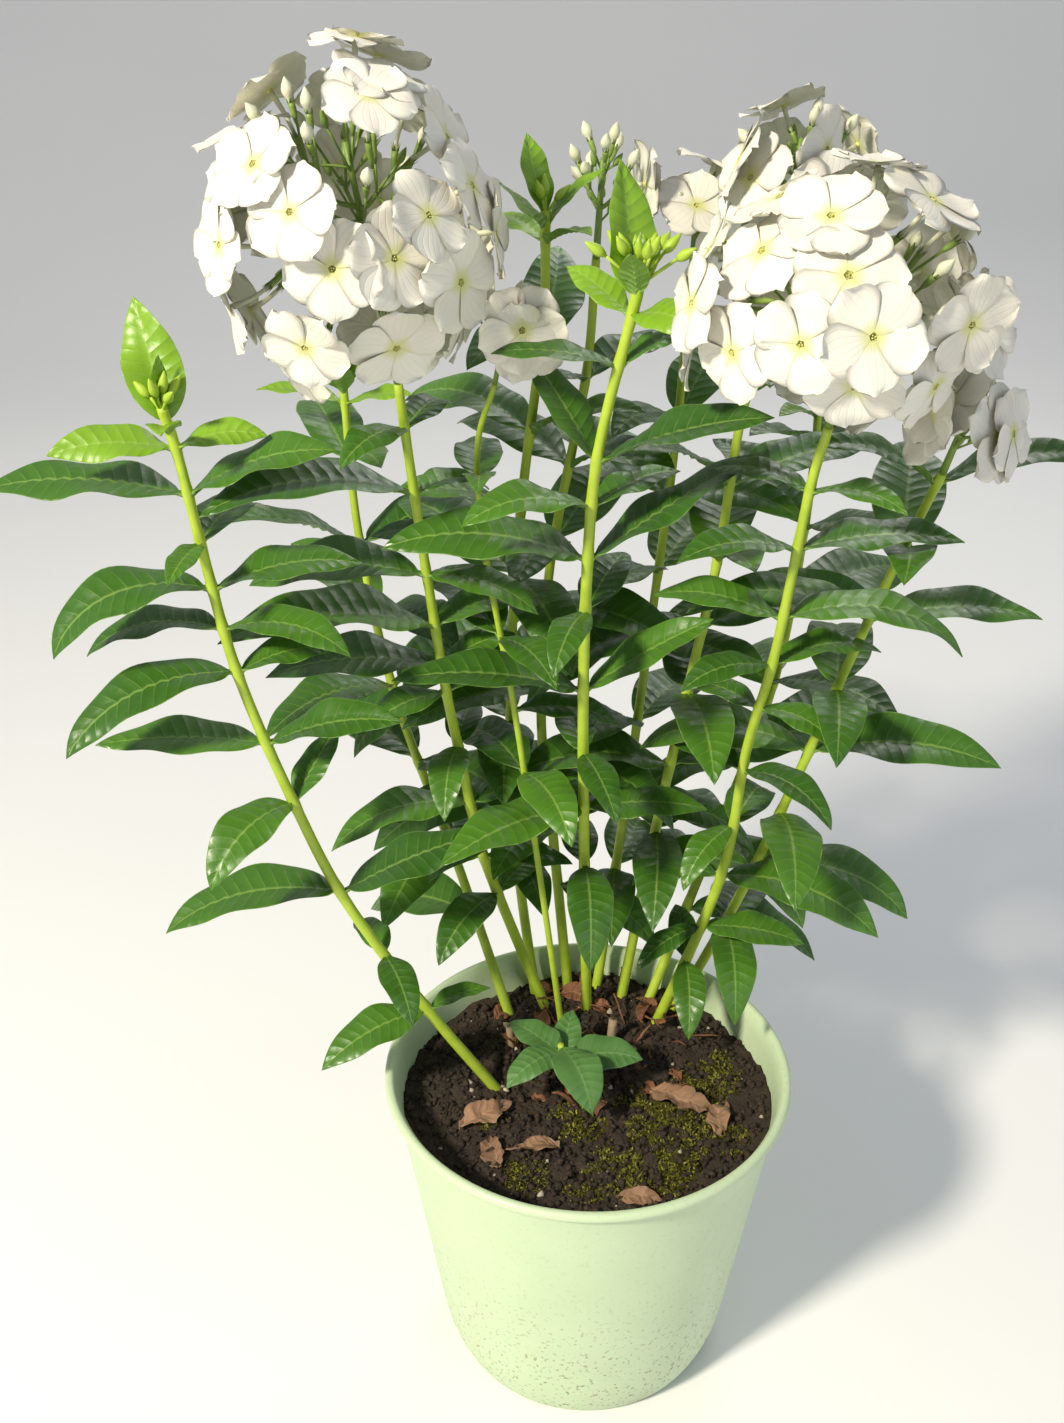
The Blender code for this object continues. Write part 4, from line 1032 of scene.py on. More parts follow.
def fine_leaf(shape, leaf, draw):
    """The same blade with sunken side veins, a midrib and a finely waved margin."""
    spine = leaf_spine(leaf)
    rows, columns = LEAF_GRID if leaf.length > LONG_LEAF else SMALL_LEAF_GRID
    pairs = FIRST_VEINS + leaf.length / VEIN_SPACING
    tint, phase = draw.random(), draw.uniform(0, RANDOM_TURN)
    top, low, uvs = [], [], []
    for i in range(rows + 1):
        s = (i / rows) ** 1.15
        up = spine[min(SPINE_STEPS, round(s * SPINE_STEPS))][3]
        half = leaf_half_width(leaf, s)
        for j in range(columns + 1):
            t = math.sin((2 * j / columns - 1) * math.pi / 2 * 0.999)
            point = leaf_point(leaf, spine, s, t)
            vein = s * pairs - VEIN_SLANT * abs(t)
            body = (1 - abs(t)) ** 0.5 * min(1.0, 5 * s) * (1 - s) ** 0.3
            quilt = QUILT_DEPTH * half * body * (math.sin(math.pi * vein) ** 2 - 0.5)
            fringe = FRINGE_DEPTH * half * math.sin(FRINGE_WAVES * s + phase + 2.1 * (t > 0)) * t * t
            from_rib = abs(t) * half
            rib = math.exp(-(from_rib / RIB_WIDTH) ** 2) * (1 - 0.8 * s)
            sheet = LEAF_HALF_SHEET * (1 - abs(t) ** 6)
            stalk = STALK_THICKNESS * max(0.0, 1 - s * 9)
            top.append(point + up * (quilt + fringe + sheet + stalk - 0.35 * MM * rib))
            low.append(point + up * (quilt + fringe - sheet - stalk - 0.75 * MM * rib))
            uvs.append((t * 0.5 + 0.5, s))
    add_blade(shape, top, low, columns, LEAF_GREEN_SLOT, uvs, (tint, leaf.youth, pairs / VEIN_SCALE))


def fine_stem(shape, stem):
    """A round stem, swollen a little where each pair of leaves leaves it."""
    route = smooth_route(stem.path, STEM_STEPS)
    nodes = [leaf.root.z for leaf in stem.leaves]
    radii = []
    for i, point in enumerate(route):
        radius = stem.foot_radius + (stem.tip_radius - stem.foot_radius) * i / (STEM_STEPS - 1)
        swell = max([math.exp(-((point.z - z) / NODE_LENGTH) ** 2) for z in nodes] or [0])
        radii.append(radius * (STEM_SHARE + NODE_SWELL * swell))
    fine_tube(shape, route, radii, FINE_STEM_SIDES, STEM_GREEN_SLOT, (0.5, 0.0, 0.0, 0.0))


def calyx_teeth(shape, centre, direction, radius, length):
    """Five narrow pointed teeth round the mouth of a calyx."""
    side, up = across(direction)
    for k in range(PETALS):
        a = 2 * math.pi * k / PETALS + 0.3
        out = side * math.cos(a) + up * math.sin(a)
        along = side * -math.sin(a) + up * math.cos(a)
        foot = centre + out * radius
        tip = foot + direction * length + out * 0.5 * MM
        inner = foot - out * 0.35 * MM
        verts = [foot - along * 0.6 * MM, foot + along * 0.6 * MM, inner, tip]
        shape.add(verts, [(0, 1, 3), (1, 2, 3), (2, 0, 3), (0, 2, 1)], CALYX_SLOT,
                  [(0, 0), (1, 0), (0.5, 0), (0.5, 1)], (0.8, 0, 0, 1))


def petal_half_width(share):
    """Half the width of a petal, in floret radii, at a share of the way out."""
    claw = CLAW_HALF_WIDTH + PETAL_SPREAD * min(1.0, max(0.0, (share - 0.10) / 0.46)) ** 0.75
    end = max(0.0, (share - 0.60) / 0.40)
    return claw * math.sqrt(max(0.0, 1 - end ** 2.5))


def fine_petal(shape, floret, index, side, up, draw):
    """A thin waved petal with its own curl and a shallow notch at its end."""
    rows, columns = PETAL_GRID
    angle = floret.turn + (index + 0.5) * (2 * math.pi / PETALS)
    out = side * math.cos(angle) + up * math.sin(angle)
    along = side * -math.sin(angle) + up * math.cos(angle)
    facing, radius = floret.facing, floret.radius
    rise = floret.cup * PETAL_RISE + draw.uniform(-0.04, 0.04)
    phase, notch, curl = draw.uniform(0, RANDOM_TURN), draw.uniform(0.0, 0.05), draw.uniform(-0.12, 0.05)
    tint = draw.random()
    top, low, uvs = [], [], []
    for i in range(rows + 1):
        share = PETAL_START + PETAL_REACH * (i / rows) ** 0.85
        half = petal_half_width(min(share, 0.995)) * radius
        for j in range(columns + 1):
            a = 2 * j / columns - 1
            dip = notch * (1 - abs(a)) * max(0.0, share - 0.8) * 5 * 0.2
            reach = share * radius * (1 - 0.05 * a * a * share - dip)
            lift = rise * share ** 1.6 - 0.055 * a * share + 0.038 * math.sin(4 * a + phase) * share ** 2
            lift += 0.04 * math.sin(6 * share + phase) * share + 0.05 * a * a * share * (1 - share)
            lift += curl * share ** 4
            centre = floret.mouth + out * reach + along * (half * a) + facing * (lift * radius)
            sheet = PETAL_HALF_SHEET * (1 - abs(a) ** 4)
            top.append(centre + facing * sheet)
            low.append(centre - facing * sheet)
            uvs.append((a * 0.5 + 0.5, share))
    add_blade(shape, top, low, columns, PETAL_SLOT, uvs, (tint, 0.0, 1.0), mirrored=True)


def fine_floret(shape, floret, draw):
    """Stalk, toothed calyx, tube, eye, five petals and three anthers."""
    mouth, facing = floret.mouth, floret.facing
    side, up = across(facing)
    throat = mouth - facing * 1.2 * MM
    reach = (throat - floret.root).length
    line = curved(floret.root, floret.root.lerp(throat, 0.35),
                  throat - facing * reach * 0.45, throat, FLORET_STEPS)
    stalk = line[:CALYX_START + 1]
    fine_tube(shape, stalk, [0.55 * MM] * len(stalk), 6, CALYX_SLOT, (0.3, 0, 0, 1))
    calyx = line[CALYX_START:CALYX_END + 1]
    fine_tube(shape, calyx, [r * MM for r in CALYX_SIZES], 8, CALYX_SLOT, (0.6, 0, 0, 1))
    ahead = (line[CALYX_END + 1] - line[CALYX_END]).normalized()
    calyx_teeth(shape, line[CALYX_END], ahead, 1.25 * MM, 3.4 * MM)
    tube = line[CALYX_END:]
    radii = [(0.85 + 0.35 * (i / (len(tube) - 1)) ** 2) * MM for i in range(len(tube))]
    fine_tube(shape, tube, radii, 8, BUD_SLOT, (0.5, 0, 0, 1))
    eye = [mouth - facing * 1.25 * MM, mouth - facing * 0.5 * MM, mouth + facing * 0.05 * MM]
    fine_tube(shape, eye, [0.9 * MM, 1.25 * MM, 1.5 * MM], 10, THROAT_SLOT, (0.5, 0, 0, 1), closed=False)
    for index in range(PETALS):
        fine_petal(shape, floret, index, side, up, draw)
    for k in range(3):
        a = floret.turn + 2.1 * k
        spot = mouth + (side * math.cos(a) + up * math.sin(a)) * 0.55 * MM
        anther = [spot - facing * 1.2 * MM, spot - facing * 0.3 * MM, spot + facing * 0.35 * MM]
        fine_tube(shape, anther, [0.25 * MM, 0.38 * MM, 0.12 * MM], 5, THROAT_SLOT, (1.0, 0, 0, 1))


def fine_green_bud(shape, bud, stalk_radius, sizes, sides, slot, marks):
    """A short stalk and a plump pointed bud, each with its own count of sides and marks."""
    fine_tube(shape, between(bud.root, bud.neck, 3), [stalk_radius] * 4, sides[0], slot, marks[0])
    fine_tube(shape, between(bud.neck, bud.tip, 5), sizes, sides[1], slot, marks[1])


def fine_bud(shape, bud, draw):
    """A green bud, or a long closed flower in its calyx."""
    if bud.green:
        sizes = [r * bud.radius / 1.6 for r in GREEN_BUD_SIZES]
        marks = ((0.3, 0, 0, 1), (draw.random(), 0, 0, 1))
        fine_green_bud(shape, bud, 0.5 * MM, sizes, (5, 7), CALYX_SLOT, marks)
        return
    fine_tube(shape, between(bud.root, bud.neck, 3), [0.55 * MM] * 4, 5, CALYX_SLOT, (0.3, 0, 0, 1))
    axis = bud.tip - bud.neck
    calyx = [bud.neck + axis * (0.10 * i) for i in range(len(BUD_CALYX_SIZES))]
    fine_tube(shape, calyx, [r * MM for r in BUD_CALYX_SIZES], 8, CALYX_SLOT, (0.6, 0, 0, 1))
    calyx_teeth(shape, calyx[-1], axis.normalized(), 1.3 * MM, 3.2 * MM)
    body = [bud.neck + axis * (0.34 + 0.66 * i / 9) for i in range(len(WHITE_BUD_SIZES))]
    sizes = [r * bud.radius for r in WHITE_BUD_SIZES]
    fine_tube(shape, body, sizes, 9, BUD_SLOT, (draw.random(), 0, 0, 1))


def fine_branch(shape, branch):
    sag = Vector((0, 0, -0.12)) * (branch.end - branch.start).length
    line = curved(branch.start, branch.start.lerp(branch.end, 0.4) + sag,
                  branch.start.lerp(branch.end, 0.7) + sag * 0.6, branch.end, 6)
    radii = [branch.radius * (1.0 - 0.25 * i / 6) for i in range(7)]
    fine_tube(shape, line, radii, 7, CALYX_SLOT, (0.2, 0, 0, 1))


def fine_head(head, materials):
    draw = random.Random("fine " + head.name)
    shape = Shape()
    stalk = head.branches[0]
    radii = [stalk.radius * (1.05 - 0.35 * i / 8) for i in range(9)]
    fine_tube(shape, between(stalk.start, stalk.end, 8), radii, 8, CALYX_SLOT, (0.2, 0, 0, 1))
    for branch in head.branches[1:]:
        fine_branch(shape, branch)
    for floret in head.florets:
        fine_floret(shape, floret, draw)
    for bud in head.buds:
        fine_bud(shape, bud, draw)
    return shape.build(head.name + "_fine", materials)


def fine_leafy_stem(stem, materials):
    draw = random.Random("fine " + stem.name)
    shape = Shape()
    fine_stem(shape, stem)
    for leaf in stem.leaves:
        fine_leaf(shape, leaf, draw)
    for bud in stem.buds:
        sizes = [r * bud.radius for r in TUFT_BUD_SIZES]
        marks = ((0.5, 0.6, 0, 0), (0.5, 0.8, 0, 0))
        fine_green_bud(shape, bud, 0.7 * MM, sizes, (6, 8), STEM_GREEN_SLOT, marks)
    return shape.build("leafy_" + stem.name, materials)


def pot_profile():
    """Radius and height from the middle of the underside, up the wall, over the lip and in."""
    lip = POT_HEIGHT - POT_LIP_HEIGHT
    rim, foot = POT_RIM_RADIUS, outer_radius(0)
    profile = [(0.02 * MM, 0), (foot - 12 * MM, 0), (foot - 1.6 * MM, 0), (foot - 0.5 * MM, 0.4 * MM)]
    heights = [1.5, 4, 7, 10, 14, 18, 22, 26, 31, *range(45, 165, 15)]
    profile += [(outer_radius(z * MM), z * MM) for z in heights]
    profile += [(outer_radius(lip - 6 * MM) + 0.1 * MM, lip - 6 * MM),
                (outer_radius(lip - 3 * MM) + 0.5 * MM, lip - 3 * MM),
                (outer_radius(lip) + 1.2 * MM, lip - 1 * MM), (rim - 1.6 * MM, lip + 0.1 * MM)]
    profile += [(rim - 2.4 * MM + 2.4 * MM * math.cos(a), lip + 2.6 * MM + 2.6 * MM * math.sin(a))
                for a in (-1.1, -0.6, -0.2, 0.3, 0.7, 1.1, 1.57)]
    profile += [(rim - 3.6 * MM, POT_HEIGHT - 0.4 * MM), (rim - 4.6 * MM, POT_HEIGHT - 1.4 * MM),
                (inner_radius(lip) + 0.5 * MM, lip + 1 * MM)]
    profile += [(inner_radius(z * MM), z * MM) for z in (168, 160, 120, 80, 40, 26, 18, 10, 5, 2.4)]
    return [*profile, (0.02 * MM, POT_FLOOR)]


def cut_slots(pot):
    """Cuts the drain slots through the edge of the pot's floor."""
    width, depth, height = DRAIN_SLOT_SIZE
    cutters = []
    for k in range(DRAIN_SLOTS):
        angle = 2 * math.pi * (k + 0.5) / DRAIN_SLOTS
        at = Vector((math.cos(angle), math.sin(angle), 0)) * outer_radius(0)
        bpy.ops.mesh.primitive_cube_add(size=1, location=at - Vector((0, 0, 1 * MM)))
        cutter = bpy.context.object
        cutter.dimensions = (depth, width, height)
        cutter.rotation_euler = (0, 0, angle)
        cut = pot.modifiers.new(f"slot_{k}", "BOOLEAN")
        cut.operation, cut.solver, cut.object = "DIFFERENCE", "EXACT", cutter
        cutters.append(cutter)
    bpy.context.view_layer.objects.active = pot
    for k in range(DRAIN_SLOTS):
        bpy.ops.object.modifier_apply(modifier=f"slot_{k}")
    for cutter in cutters:
        bpy.data.objects.remove(cutter)


def fine_pot(material):
    """A turned shell with a rolled lip and a rounded heel, cut by drain slots."""
    profile = pot_profile()
    verts = [Vector((x, y, z)) for radius, z in profile for x, y in circle(radius, POT_LATHE_SIDES)]
    sides = POT_LATHE_SIDES
    uvs = [(k / sides, i / len(profile)) for i in range(len(profile)) for k in range(sides)]
    shape = Shape()
    shape.add(verts, ring_quads(len(profile), POT_LATHE_SIDES), 0, uvs, (0, 0, 0, 1))
    pot = shape.build("pot_fine", [material])
    cut_slots(pot)
    return pot


def crumbly_height(x, y):
    """The soil's surface with its lumps and crumbs."""
    p = Vector((x, y, 0))
    lumps = noise.noise(p * 90) * 2.4 * MM + noise.noise(p * 230) * 2.0 * MM
    return soil_height(x, y) + lumps + noise.noise(p * 560) * 1.1 * MM


def fine_soil(materials):
    """The plug of soil with a lumpy surface and loose crumbs on it."""
    shape = Shape()
    rings, sides = FINE_SOIL_RINGS, FINE_SOIL_SIDES
    edge = inner_radius(SOIL_TOP) - 0.35 * MM
    rows = [(inner_radius(z) - SOIL_INSET, z) for z in (POT_FLOOR + GAP, 9 * MM, POT_HEEL_HEIGHT)]
    rows += [(edge * (1 - i / rings), None) for i in range(rings)]
    verts = [Vector((x, y, crumbly_height(x, y) if height is None else height))
             for radius, height in rows for x, y in circle(radius, sides)]
    faces = ring_quads(len(rows), sides) + end_caps(len(verts), sides)
    shape.add(verts, faces, 0, [(v.x, v.y) for v in verts], (0.5, 0, 0, 1))
    draw = random.Random("crumbs")
    for _ in range(CRUMBS):
        radius = edge * math.sqrt(draw.random()) * 0.985
        angle = draw.uniform(0, RANDOM_TURN)
        size = draw.choice(CRUMB_SIZES) * MM
        slot = 2 if draw.random() < PALE_SHARE else 0
        add_crumb(shape, radius * math.cos(angle), radius * math.sin(angle), size, draw, slot)
    return shape.build("soil_fine", materials)


def add_crumb(shape, x, y, size, draw, slot):
    """A rough eight-sided grain, a quarter of its size above the surface."""
    centre = Vector((x, y, crumbly_height(x, y) + size * 0.25))
    corners = [Vector((1, 0, 0)), Vector((-1, 0, 0)), Vector((0, 1, 0)), Vector((0, -1, 0)),
               Vector((0, 0, 1)), Vector((0, 0, -1))]
    angle = draw.uniform(0, RANDOM_TURN)
    turn = Matrix.Rotation(angle, 3, Vector((draw.random(), draw.random(), 1)).normalized())
    verts = [centre + turn @ c * size * draw.uniform(0.6, 1.2) for c in corners]
    faces = [(0, 2, 4), (2, 1, 4), (1, 3, 4), (3, 0, 4), (2, 0, 5), (1, 2, 5), (3, 1, 5), (0, 3, 5)]
    shape.add(verts, faces, slot, [(v.x, v.y) for v in verts], (draw.random(), 0, 0, 1))


def on_soil(x, y, margin):
    """Whether a place is inside the pot by a margin."""
    return math.hypot(x, y) <= inner_radius(SOIL_TOP) - margin


def fine_moss(materials):
    """Cushions of short leaning blades, thinner towards the edge of each patch."""
    shape = Shape()
    draw = random.Random("moss")
    for px, py, size in MOSS_PATCHES:
        for _ in range(int(size * size * MOSS_DENSITY)):
            radius, angle = size * MM * math.sqrt(draw.random()), draw.uniform(0, RANDOM_TURN)
            x, y = px * MM + radius * math.cos(angle), py * MM + radius * math.sin(angle)
            if not on_soil(x, y, 3 * MM) or noise.noise(Vector((x, y, 3)) * 90) < -0.16:
                continue
            foot = Vector((x, y, crumbly_height(x, y) - 0.3 * MM))
            tall = draw.uniform(1.8, 4.0) * MM * (1.1 - 0.5 * radius / (size * MM))
            tint = draw.random()
            for _ in range(MOSS_BLADES):
                lean = heading(draw.uniform(0, 360), draw.uniform(20, 75))
                wide = heading(draw.uniform(0, 360), 0) * 0.6 * MM
                tip = foot + lean * tall
                middle = foot.lerp(tip, 0.5)
                shape.add([foot, middle - wide, middle + wide, tip],
                          [(0, 1, 3), (0, 3, 2), (0, 2, 1), (1, 2, 3)],
                          1, [(0, 0), (0, 0.5), (1, 0.5), (0.5, 1)], (tint, 0, 0, 1))
    return shape.build("moss", materials)


def fine_litter(material):
    """Curled scraps of last year's leaves and stalks round the crown."""
    shape = Shape()
    draw = random.Random("litter")
    for k in range(LITTER_SCRAPS):
        angle, away = draw.uniform(0, RANDOM_TURN), draw.uniform(14, 58) * MM
        x, y = CROWN.x + away * math.cos(angle), CROWN.y - 14 * MM + away * math.sin(angle)
        if not on_soil(x, y, 8 * MM):
            continue
        root = Vector((x, y, crumbly_height(x, y) + 0.6 * MM))
        if k % 3 == 0:
            end = root + heading(draw.uniform(0, 360), draw.uniform(2, 50)) * draw.uniform(8, 20) * MM
            middle = root.lerp(end, 0.5) + Vector((0, 0, draw.uniform(0.5, 3) * MM))
            fine_tube(shape, curved(root, middle, middle, end, 6), [0.55 * MM] * 7, 5, 0,
                      (draw.random(), 0, 0, 0.3))
            continue
        scrap = Leaf(root, draw.uniform(0, 360), draw.uniform(9, 19) * MM, draw.uniform(5, 60),
                     draw.uniform(20, 110), sweep=draw.uniform(-70, 70), roll=draw.uniform(-90, 90),
                     fold=draw.uniform(20, 45), broad=1.4, phase=draw.uniform(0, RANDOM_TURN))
        fine_leaf(shape, scrap, draw)
    crinkle(shape, 5, 0.9)
    return shape.build("litter", [material])


def crinkle(shape, shift, amount):
    """Pushes every vertex about, as a drying leaf shrivels."""
    wrinkled = []
    for x, y, z in shape.verts:
        p = Vector((x, y, z + shift))
        push = noise.noise_vector(p * 150) * 1.6 + noise.noise_vector(p * 420) * 0.7
        wrinkled.append(tuple(Vector((x, y, z)) + push * amount * MM))
    shape.verts = wrinkled


def fine_dry_leaf(leaf, material, name):
    """The fallen leaf, crinkled."""
    shape = Shape()
    draw = random.Random(name)
    fine_leaf(shape, leaf, draw)
    crinkle(shape, draw.uniform(0, 9), 1.4)
    return shape.build(name + "_fine", [material])


def fine_stub(name, foot, top, radius, material):
    """A dry hollow stem end, cut across."""
    shape = Shape()
    line = between(foot, top, 6)
    draw = random.Random(name)
    sizes = [radius * draw.uniform(0.9, 1.04) for _ in range(7)]
    down = (foot - top).normalized()
    line += [top, top + down * 3 * MM]
    sizes += [radius * 0.6, radius * 0.5]
    fine_tube(shape, line, sizes, 14, 0, (0.5, 0, 0, 0))
    return shape.build(name + "_fine", [material])


# Materials

# Leaves: dark, bright, young, pale lines and underside, then the range of roughness. In leaf_green, dark is
# painted shade, the green of a leaf in shadow, and bright is painted light, the green of a sunlit leaf
LEAF_LOOKS = {
    "leaf_green": ((0.011, 0.058, 0.006), (0.082, 0.215, 0.014), (0.20, 0.38, 0.015),
                   (0.34, 0.50, 0.12), (0.15, 0.27, 0.06), (0.28, 0.50)),
    "shoot_green": ((0.020, 0.080, 0.018), (0.075, 0.19, 0.040), (0.11, 0.24, 0.06),
                    (0.24, 0.38, 0.14), (0.13, 0.22, 0.09), (0.42, 0.62)),
    "dry_brown": ((0.045, 0.020, 0.012), (0.46, 0.26, 0.15), (0.3, 0.15, 0.05),
                  (0.50, 0.33, 0.20), (0.36, 0.21, 0.13), (0.6, 0.85)),
    "litter_brown": ((0.07, 0.025, 0.012), (0.30, 0.12, 0.05), (0.3, 0.15, 0.05),
                     (0.40, 0.22, 0.11), (0.24, 0.10, 0.05), (0.6, 0.85)),
}
VEIN_SHARPNESS, VEIN_SHARE = 5.0, 0.26
RIB_SHARPNESS, RIB_SHARE = 13.0, 0.46
EDGE_START, EDGE_SHARPNESS, EDGE_SHARE = 0.955, 16.0, 0.50

# The rest: dark and bright colour, scale of the grain, roughness, bump strength and depth
PLAIN_LOOKS = {
    "calyx_green": ((0.10, 0.20, 0.03), (0.26, 0.36, 0.07), 200, 0.5, 0.3, 0.4 * MM),
    "throat_yellow": ((0.42, 0.46, 0.10), (0.72, 0.66, 0.22), 400, 0.6, 0.3, 0.4 * MM),
    "bud_cream": ((0.55, 0.58, 0.36), (0.70, 0.69, 0.56), 90, 0.55, 0.3, 0.4 * MM),
    "peat": ((0.003, 0.003, 0.003), (0.060, 0.038, 0.022), 160, 0.86, 0.9, 1.5 * MM),
    "moss_green": ((0.24, 0.27, 0.02), (0.80, 0.74, 0.14), 300, 0.8, 0.3, 0.4 * MM),
    "pale_bits": ((0.25, 0.20, 0.13), (0.55, 0.50, 0.38), 300, 0.88, 0.3, 0.4 * MM),
    "stub_tan": ((0.16, 0.10, 0.055), (0.42, 0.32, 0.19), 200, 0.85, 0.3, 0.4 * MM),
}
ROUGHNESS_SPREAD = 0.12

STEM_DARK, STEM_BRIGHT, STEM_YOUNG = (0.27, 0.42, 0.015), (0.50, 0.62, 0.06), (0.34, 0.50, 0.04)
PETAL_DARK, PETAL_BRIGHT = (0.72, 0.685, 0.59), (0.80, 0.775, 0.69)
PETAL_EYE, PETAL_RAY, PETAL_UNDER = (0.62, 0.63, 0.28), (0.56, 0.56, 0.48), (0.60, 0.62, 0.50)
WHITE, BLACK = (1, 1, 1), (0, 0, 0)
POT_DARK, POT_BRIGHT = (0.50, 0.62, 0.39), (0.58, 0.70, 0.47)
POT_DIRT, POT_SMEAR = (0.20, 0.14, 0.08), (0.42, 0.42, 0.28)
FLOOR_DARK, FLOOR_BRIGHT = (0.80, 0.80, 0.79), (0.83, 0.83, 0.82)


class Look:
    """A material being made: its nodes, with a short call for each kind that is used."""

    def __init__(self, name):
        self.material = bpy.data.materials.new(name)
        self.material.use_nodes = True
        self.tree = self.material.node_tree
        self.shader = self.tree.nodes["Principled BSDF"]

    def feed(self, socket, value):
        """Sets a socket to a number or a colour, or links another node's output to it."""
        if isinstance(value, (int, float)):
            socket.default_value = value
        elif isinstance(value, tuple):
            socket.default_value = (*value, 1)
        else:
            self.tree.links.new(value, socket)

    def node(self, kind, inputs, output=0, **settings):
        """One output of a new node, with its settings made and its inputs fed."""
        made = self.tree.nodes.new("ShaderNode" + kind)
        for key, value in settings.items():
            setattr(made, key, value)
        for key, value in inputs.items():
            self.feed(made.inputs[key], value)
        return made.outputs[output]

    def math(self, operation, a, b=0.0, clamp=False):
        return self.node("Math", {0: a, 1: b}, operation=operation, use_clamp=clamp)

    def plus(self, a, b):
        return self.math("ADD", a, b)

    def minus(self, a, b, clamp=False):
        return self.math("SUBTRACT", a, b, clamp)

    def times(self, a, b, clamp=False):
        return self.math("MULTIPLY", a, b, clamp)

    def mix(self, share, a, b):
        return self.node("Mix", {0: share, 6: a, 7: b}, 2, data_type="RGBA")

    def noise(self, scale, detail=4.0):
        place = self.node("TexCoord", {}, "Object")
        return self.node("TexNoise", {"Scale": scale, "Detail": detail, "Vector": place}, "Fac")

    def axes(self, coordinates):
        """X, Y and Z of a kind of texture coordinates."""
        split = self.tree.nodes.new("ShaderNodeSeparateXYZ")
        self.feed(split.inputs[0], self.node("TexCoord", {}, coordinates))
        return split.outputs

    def marks(self):
        """The four numbers that each vertex carries: tint, youth, underside and veins."""
        attribute = self.tree.nodes.new("ShaderNodeAttribute")
        attribute.attribute_name = "marks"
        split = self.tree.nodes.new("ShaderNodeSeparateColor")
        self.feed(split.inputs[0], attribute.outputs["Color"])
        return *split.outputs, attribute.outputs["Alpha"]

    def ramp(self, value, stops):
        made = self.tree.nodes.new("ShaderNodeValToRGB")
        while len(made.color_ramp.elements) < len(stops):
            made.color_ramp.elements.new(0.5)
        for element, (place, colour) in zip(made.color_ramp.elements, stops):
            element.position, element.color = place, (*colour, 1)
        self.feed(made.inputs["Fac"], value)
        return made.outputs["Color"]

    def finish(self, colour, grain, roughness, relief, strength, depth):
        """Feeds the shader its colour, a roughness that follows a grain, and a bump."""
        low, high = roughness
        limits = {"Value": grain, "From Min": 0.3, "From Max": 0.7, "To Min": low, "To Max": high}
        bump = {"Height": relief, "Strength": strength, "Distance": depth}
        self.feed(self.shader.inputs["Base Color"], colour)
        self.feed(self.shader.inputs["Roughness"], self.node("MapRange", limits, "Result"))
        self.feed(self.shader.inputs["Normal"], self.node("Bump", bump, "Normal"))
        return self.material


def leaf_material(name):
    """A blade with paler midrib, side veins and margin, and a duller underside."""
    dark, bright, young, pale, under, roughness = LEAF_LOOKS[name]
    look = Look(name)
    tint, youth, below, pairs = look.marks()
    u, v, _ = look.axes("UV")
    out = look.math("ABSOLUTE", look.times(look.minus(u, 0.5), 2.0))
    cloud = look.plus(look.times(look.noise(55), 0.6), look.times(look.noise(420, 3), 0.4))
    # For leaf_green this paints shade and light: each leaf and patch is mixed at random between a shaded
    # and a sunlit green, on top of its own differences in tone
    base = look.mix(look.plus(look.times(tint, 0.50), look.times(cloud, 0.55)), dark, bright)
    base = look.mix(youth, base, young)
    lane = look.minus(look.times(v, look.times(pairs, VEIN_SCALE)), look.times(out, VEIN_SLANT))
    wave = look.math("ABSOLUTE", look.math("SINE", look.times(lane, math.pi)))
    vein = look.minus(1.0, look.times(wave, VEIN_SHARPNESS), clamp=True)
    vein = look.times(vein, look.minus(1.0, out, clamp=True))
    rib = look.minus(1.0, look.times(out, RIB_SHARPNESS), clamp=True)
    edge = look.times(look.minus(out, EDGE_START, clamp=True), EDGE_SHARPNESS, clamp=True)
    lines = look.math("MAXIMUM", look.times(rib, RIB_SHARE), look.times(edge, EDGE_SHARE))
    lines = look.math("MAXIMUM", look.times(vein, VEIN_SHARE), lines)
    top = look.mix(lines, base, pale)
    low = look.mix(look.times(lines, 0.8), look.mix(0.75, base, under), pale)
    relief = look.plus(look.times(wave, 0.7), look.times(cloud, 0.9))
    return look.finish(look.mix(below, top, low), look.noise(240), roughness, relief, 0.5, 0.8 * MM)


def stem_material():
    look = Look("stem_green")
    cloud = look.noise(140)
    youth = look.marks()[1]
    colour = look.mix(youth, look.mix(cloud, STEM_DARK, STEM_BRIGHT), STEM_YOUNG)
    return look.finish(colour, cloud, (0.38, 0.60), look.noise(900), 0.2, 0.3 * MM)


def petal_material():
    """White with a soft yellow-green eye, faint radial veins and a duller underside."""
    look = Look("petal_white")
    tint, _, below, _ = look.marks()
    u, v, _ = look.axes("UV")
    eye = look.ramp(v, [(0.0, WHITE), (0.12, WHITE), (0.30, BLACK), (1.0, BLACK)])
    colour = look.mix(eye, look.mix(tint, PETAL_DARK, PETAL_BRIGHT), PETAL_EYE)
    ray = look.math("ABSOLUTE", look.math("SINE", look.times(u, 22.0)))
    ray = look.minus(1.0, look.times(ray, 2.2), clamp=True)
    colour = look.mix(look.times(ray, 0.16), colour, PETAL_RAY)
    colour = look.mix(look.times(below, 0.35), colour, PETAL_UNDER)
    cloud = look.noise(500)
    return look.finish(colour, cloud, (0.50, 0.72), look.plus(ray, cloud), 0.25, 0.3 * MM)


def plain_material(name):
    """Two colours in a soft cloud, with a finer grain in the roughness and the bump."""
    dark, bright, scale, roughness, strength, depth = PLAIN_LOOKS[name]
    look = Look(name)
    tint = look.marks()[0]
    cloud = look.plus(look.times(look.noise(scale), 0.7), look.times(tint, 0.4))
    grain = look.noise(scale * 4)
    limits = (roughness - ROUGHNESS_SPREAD, min(1.0, roughness + ROUGHNESS_SPREAD))
    return look.finish(look.mix(cloud, dark, bright), grain, limits, grain, strength, depth)


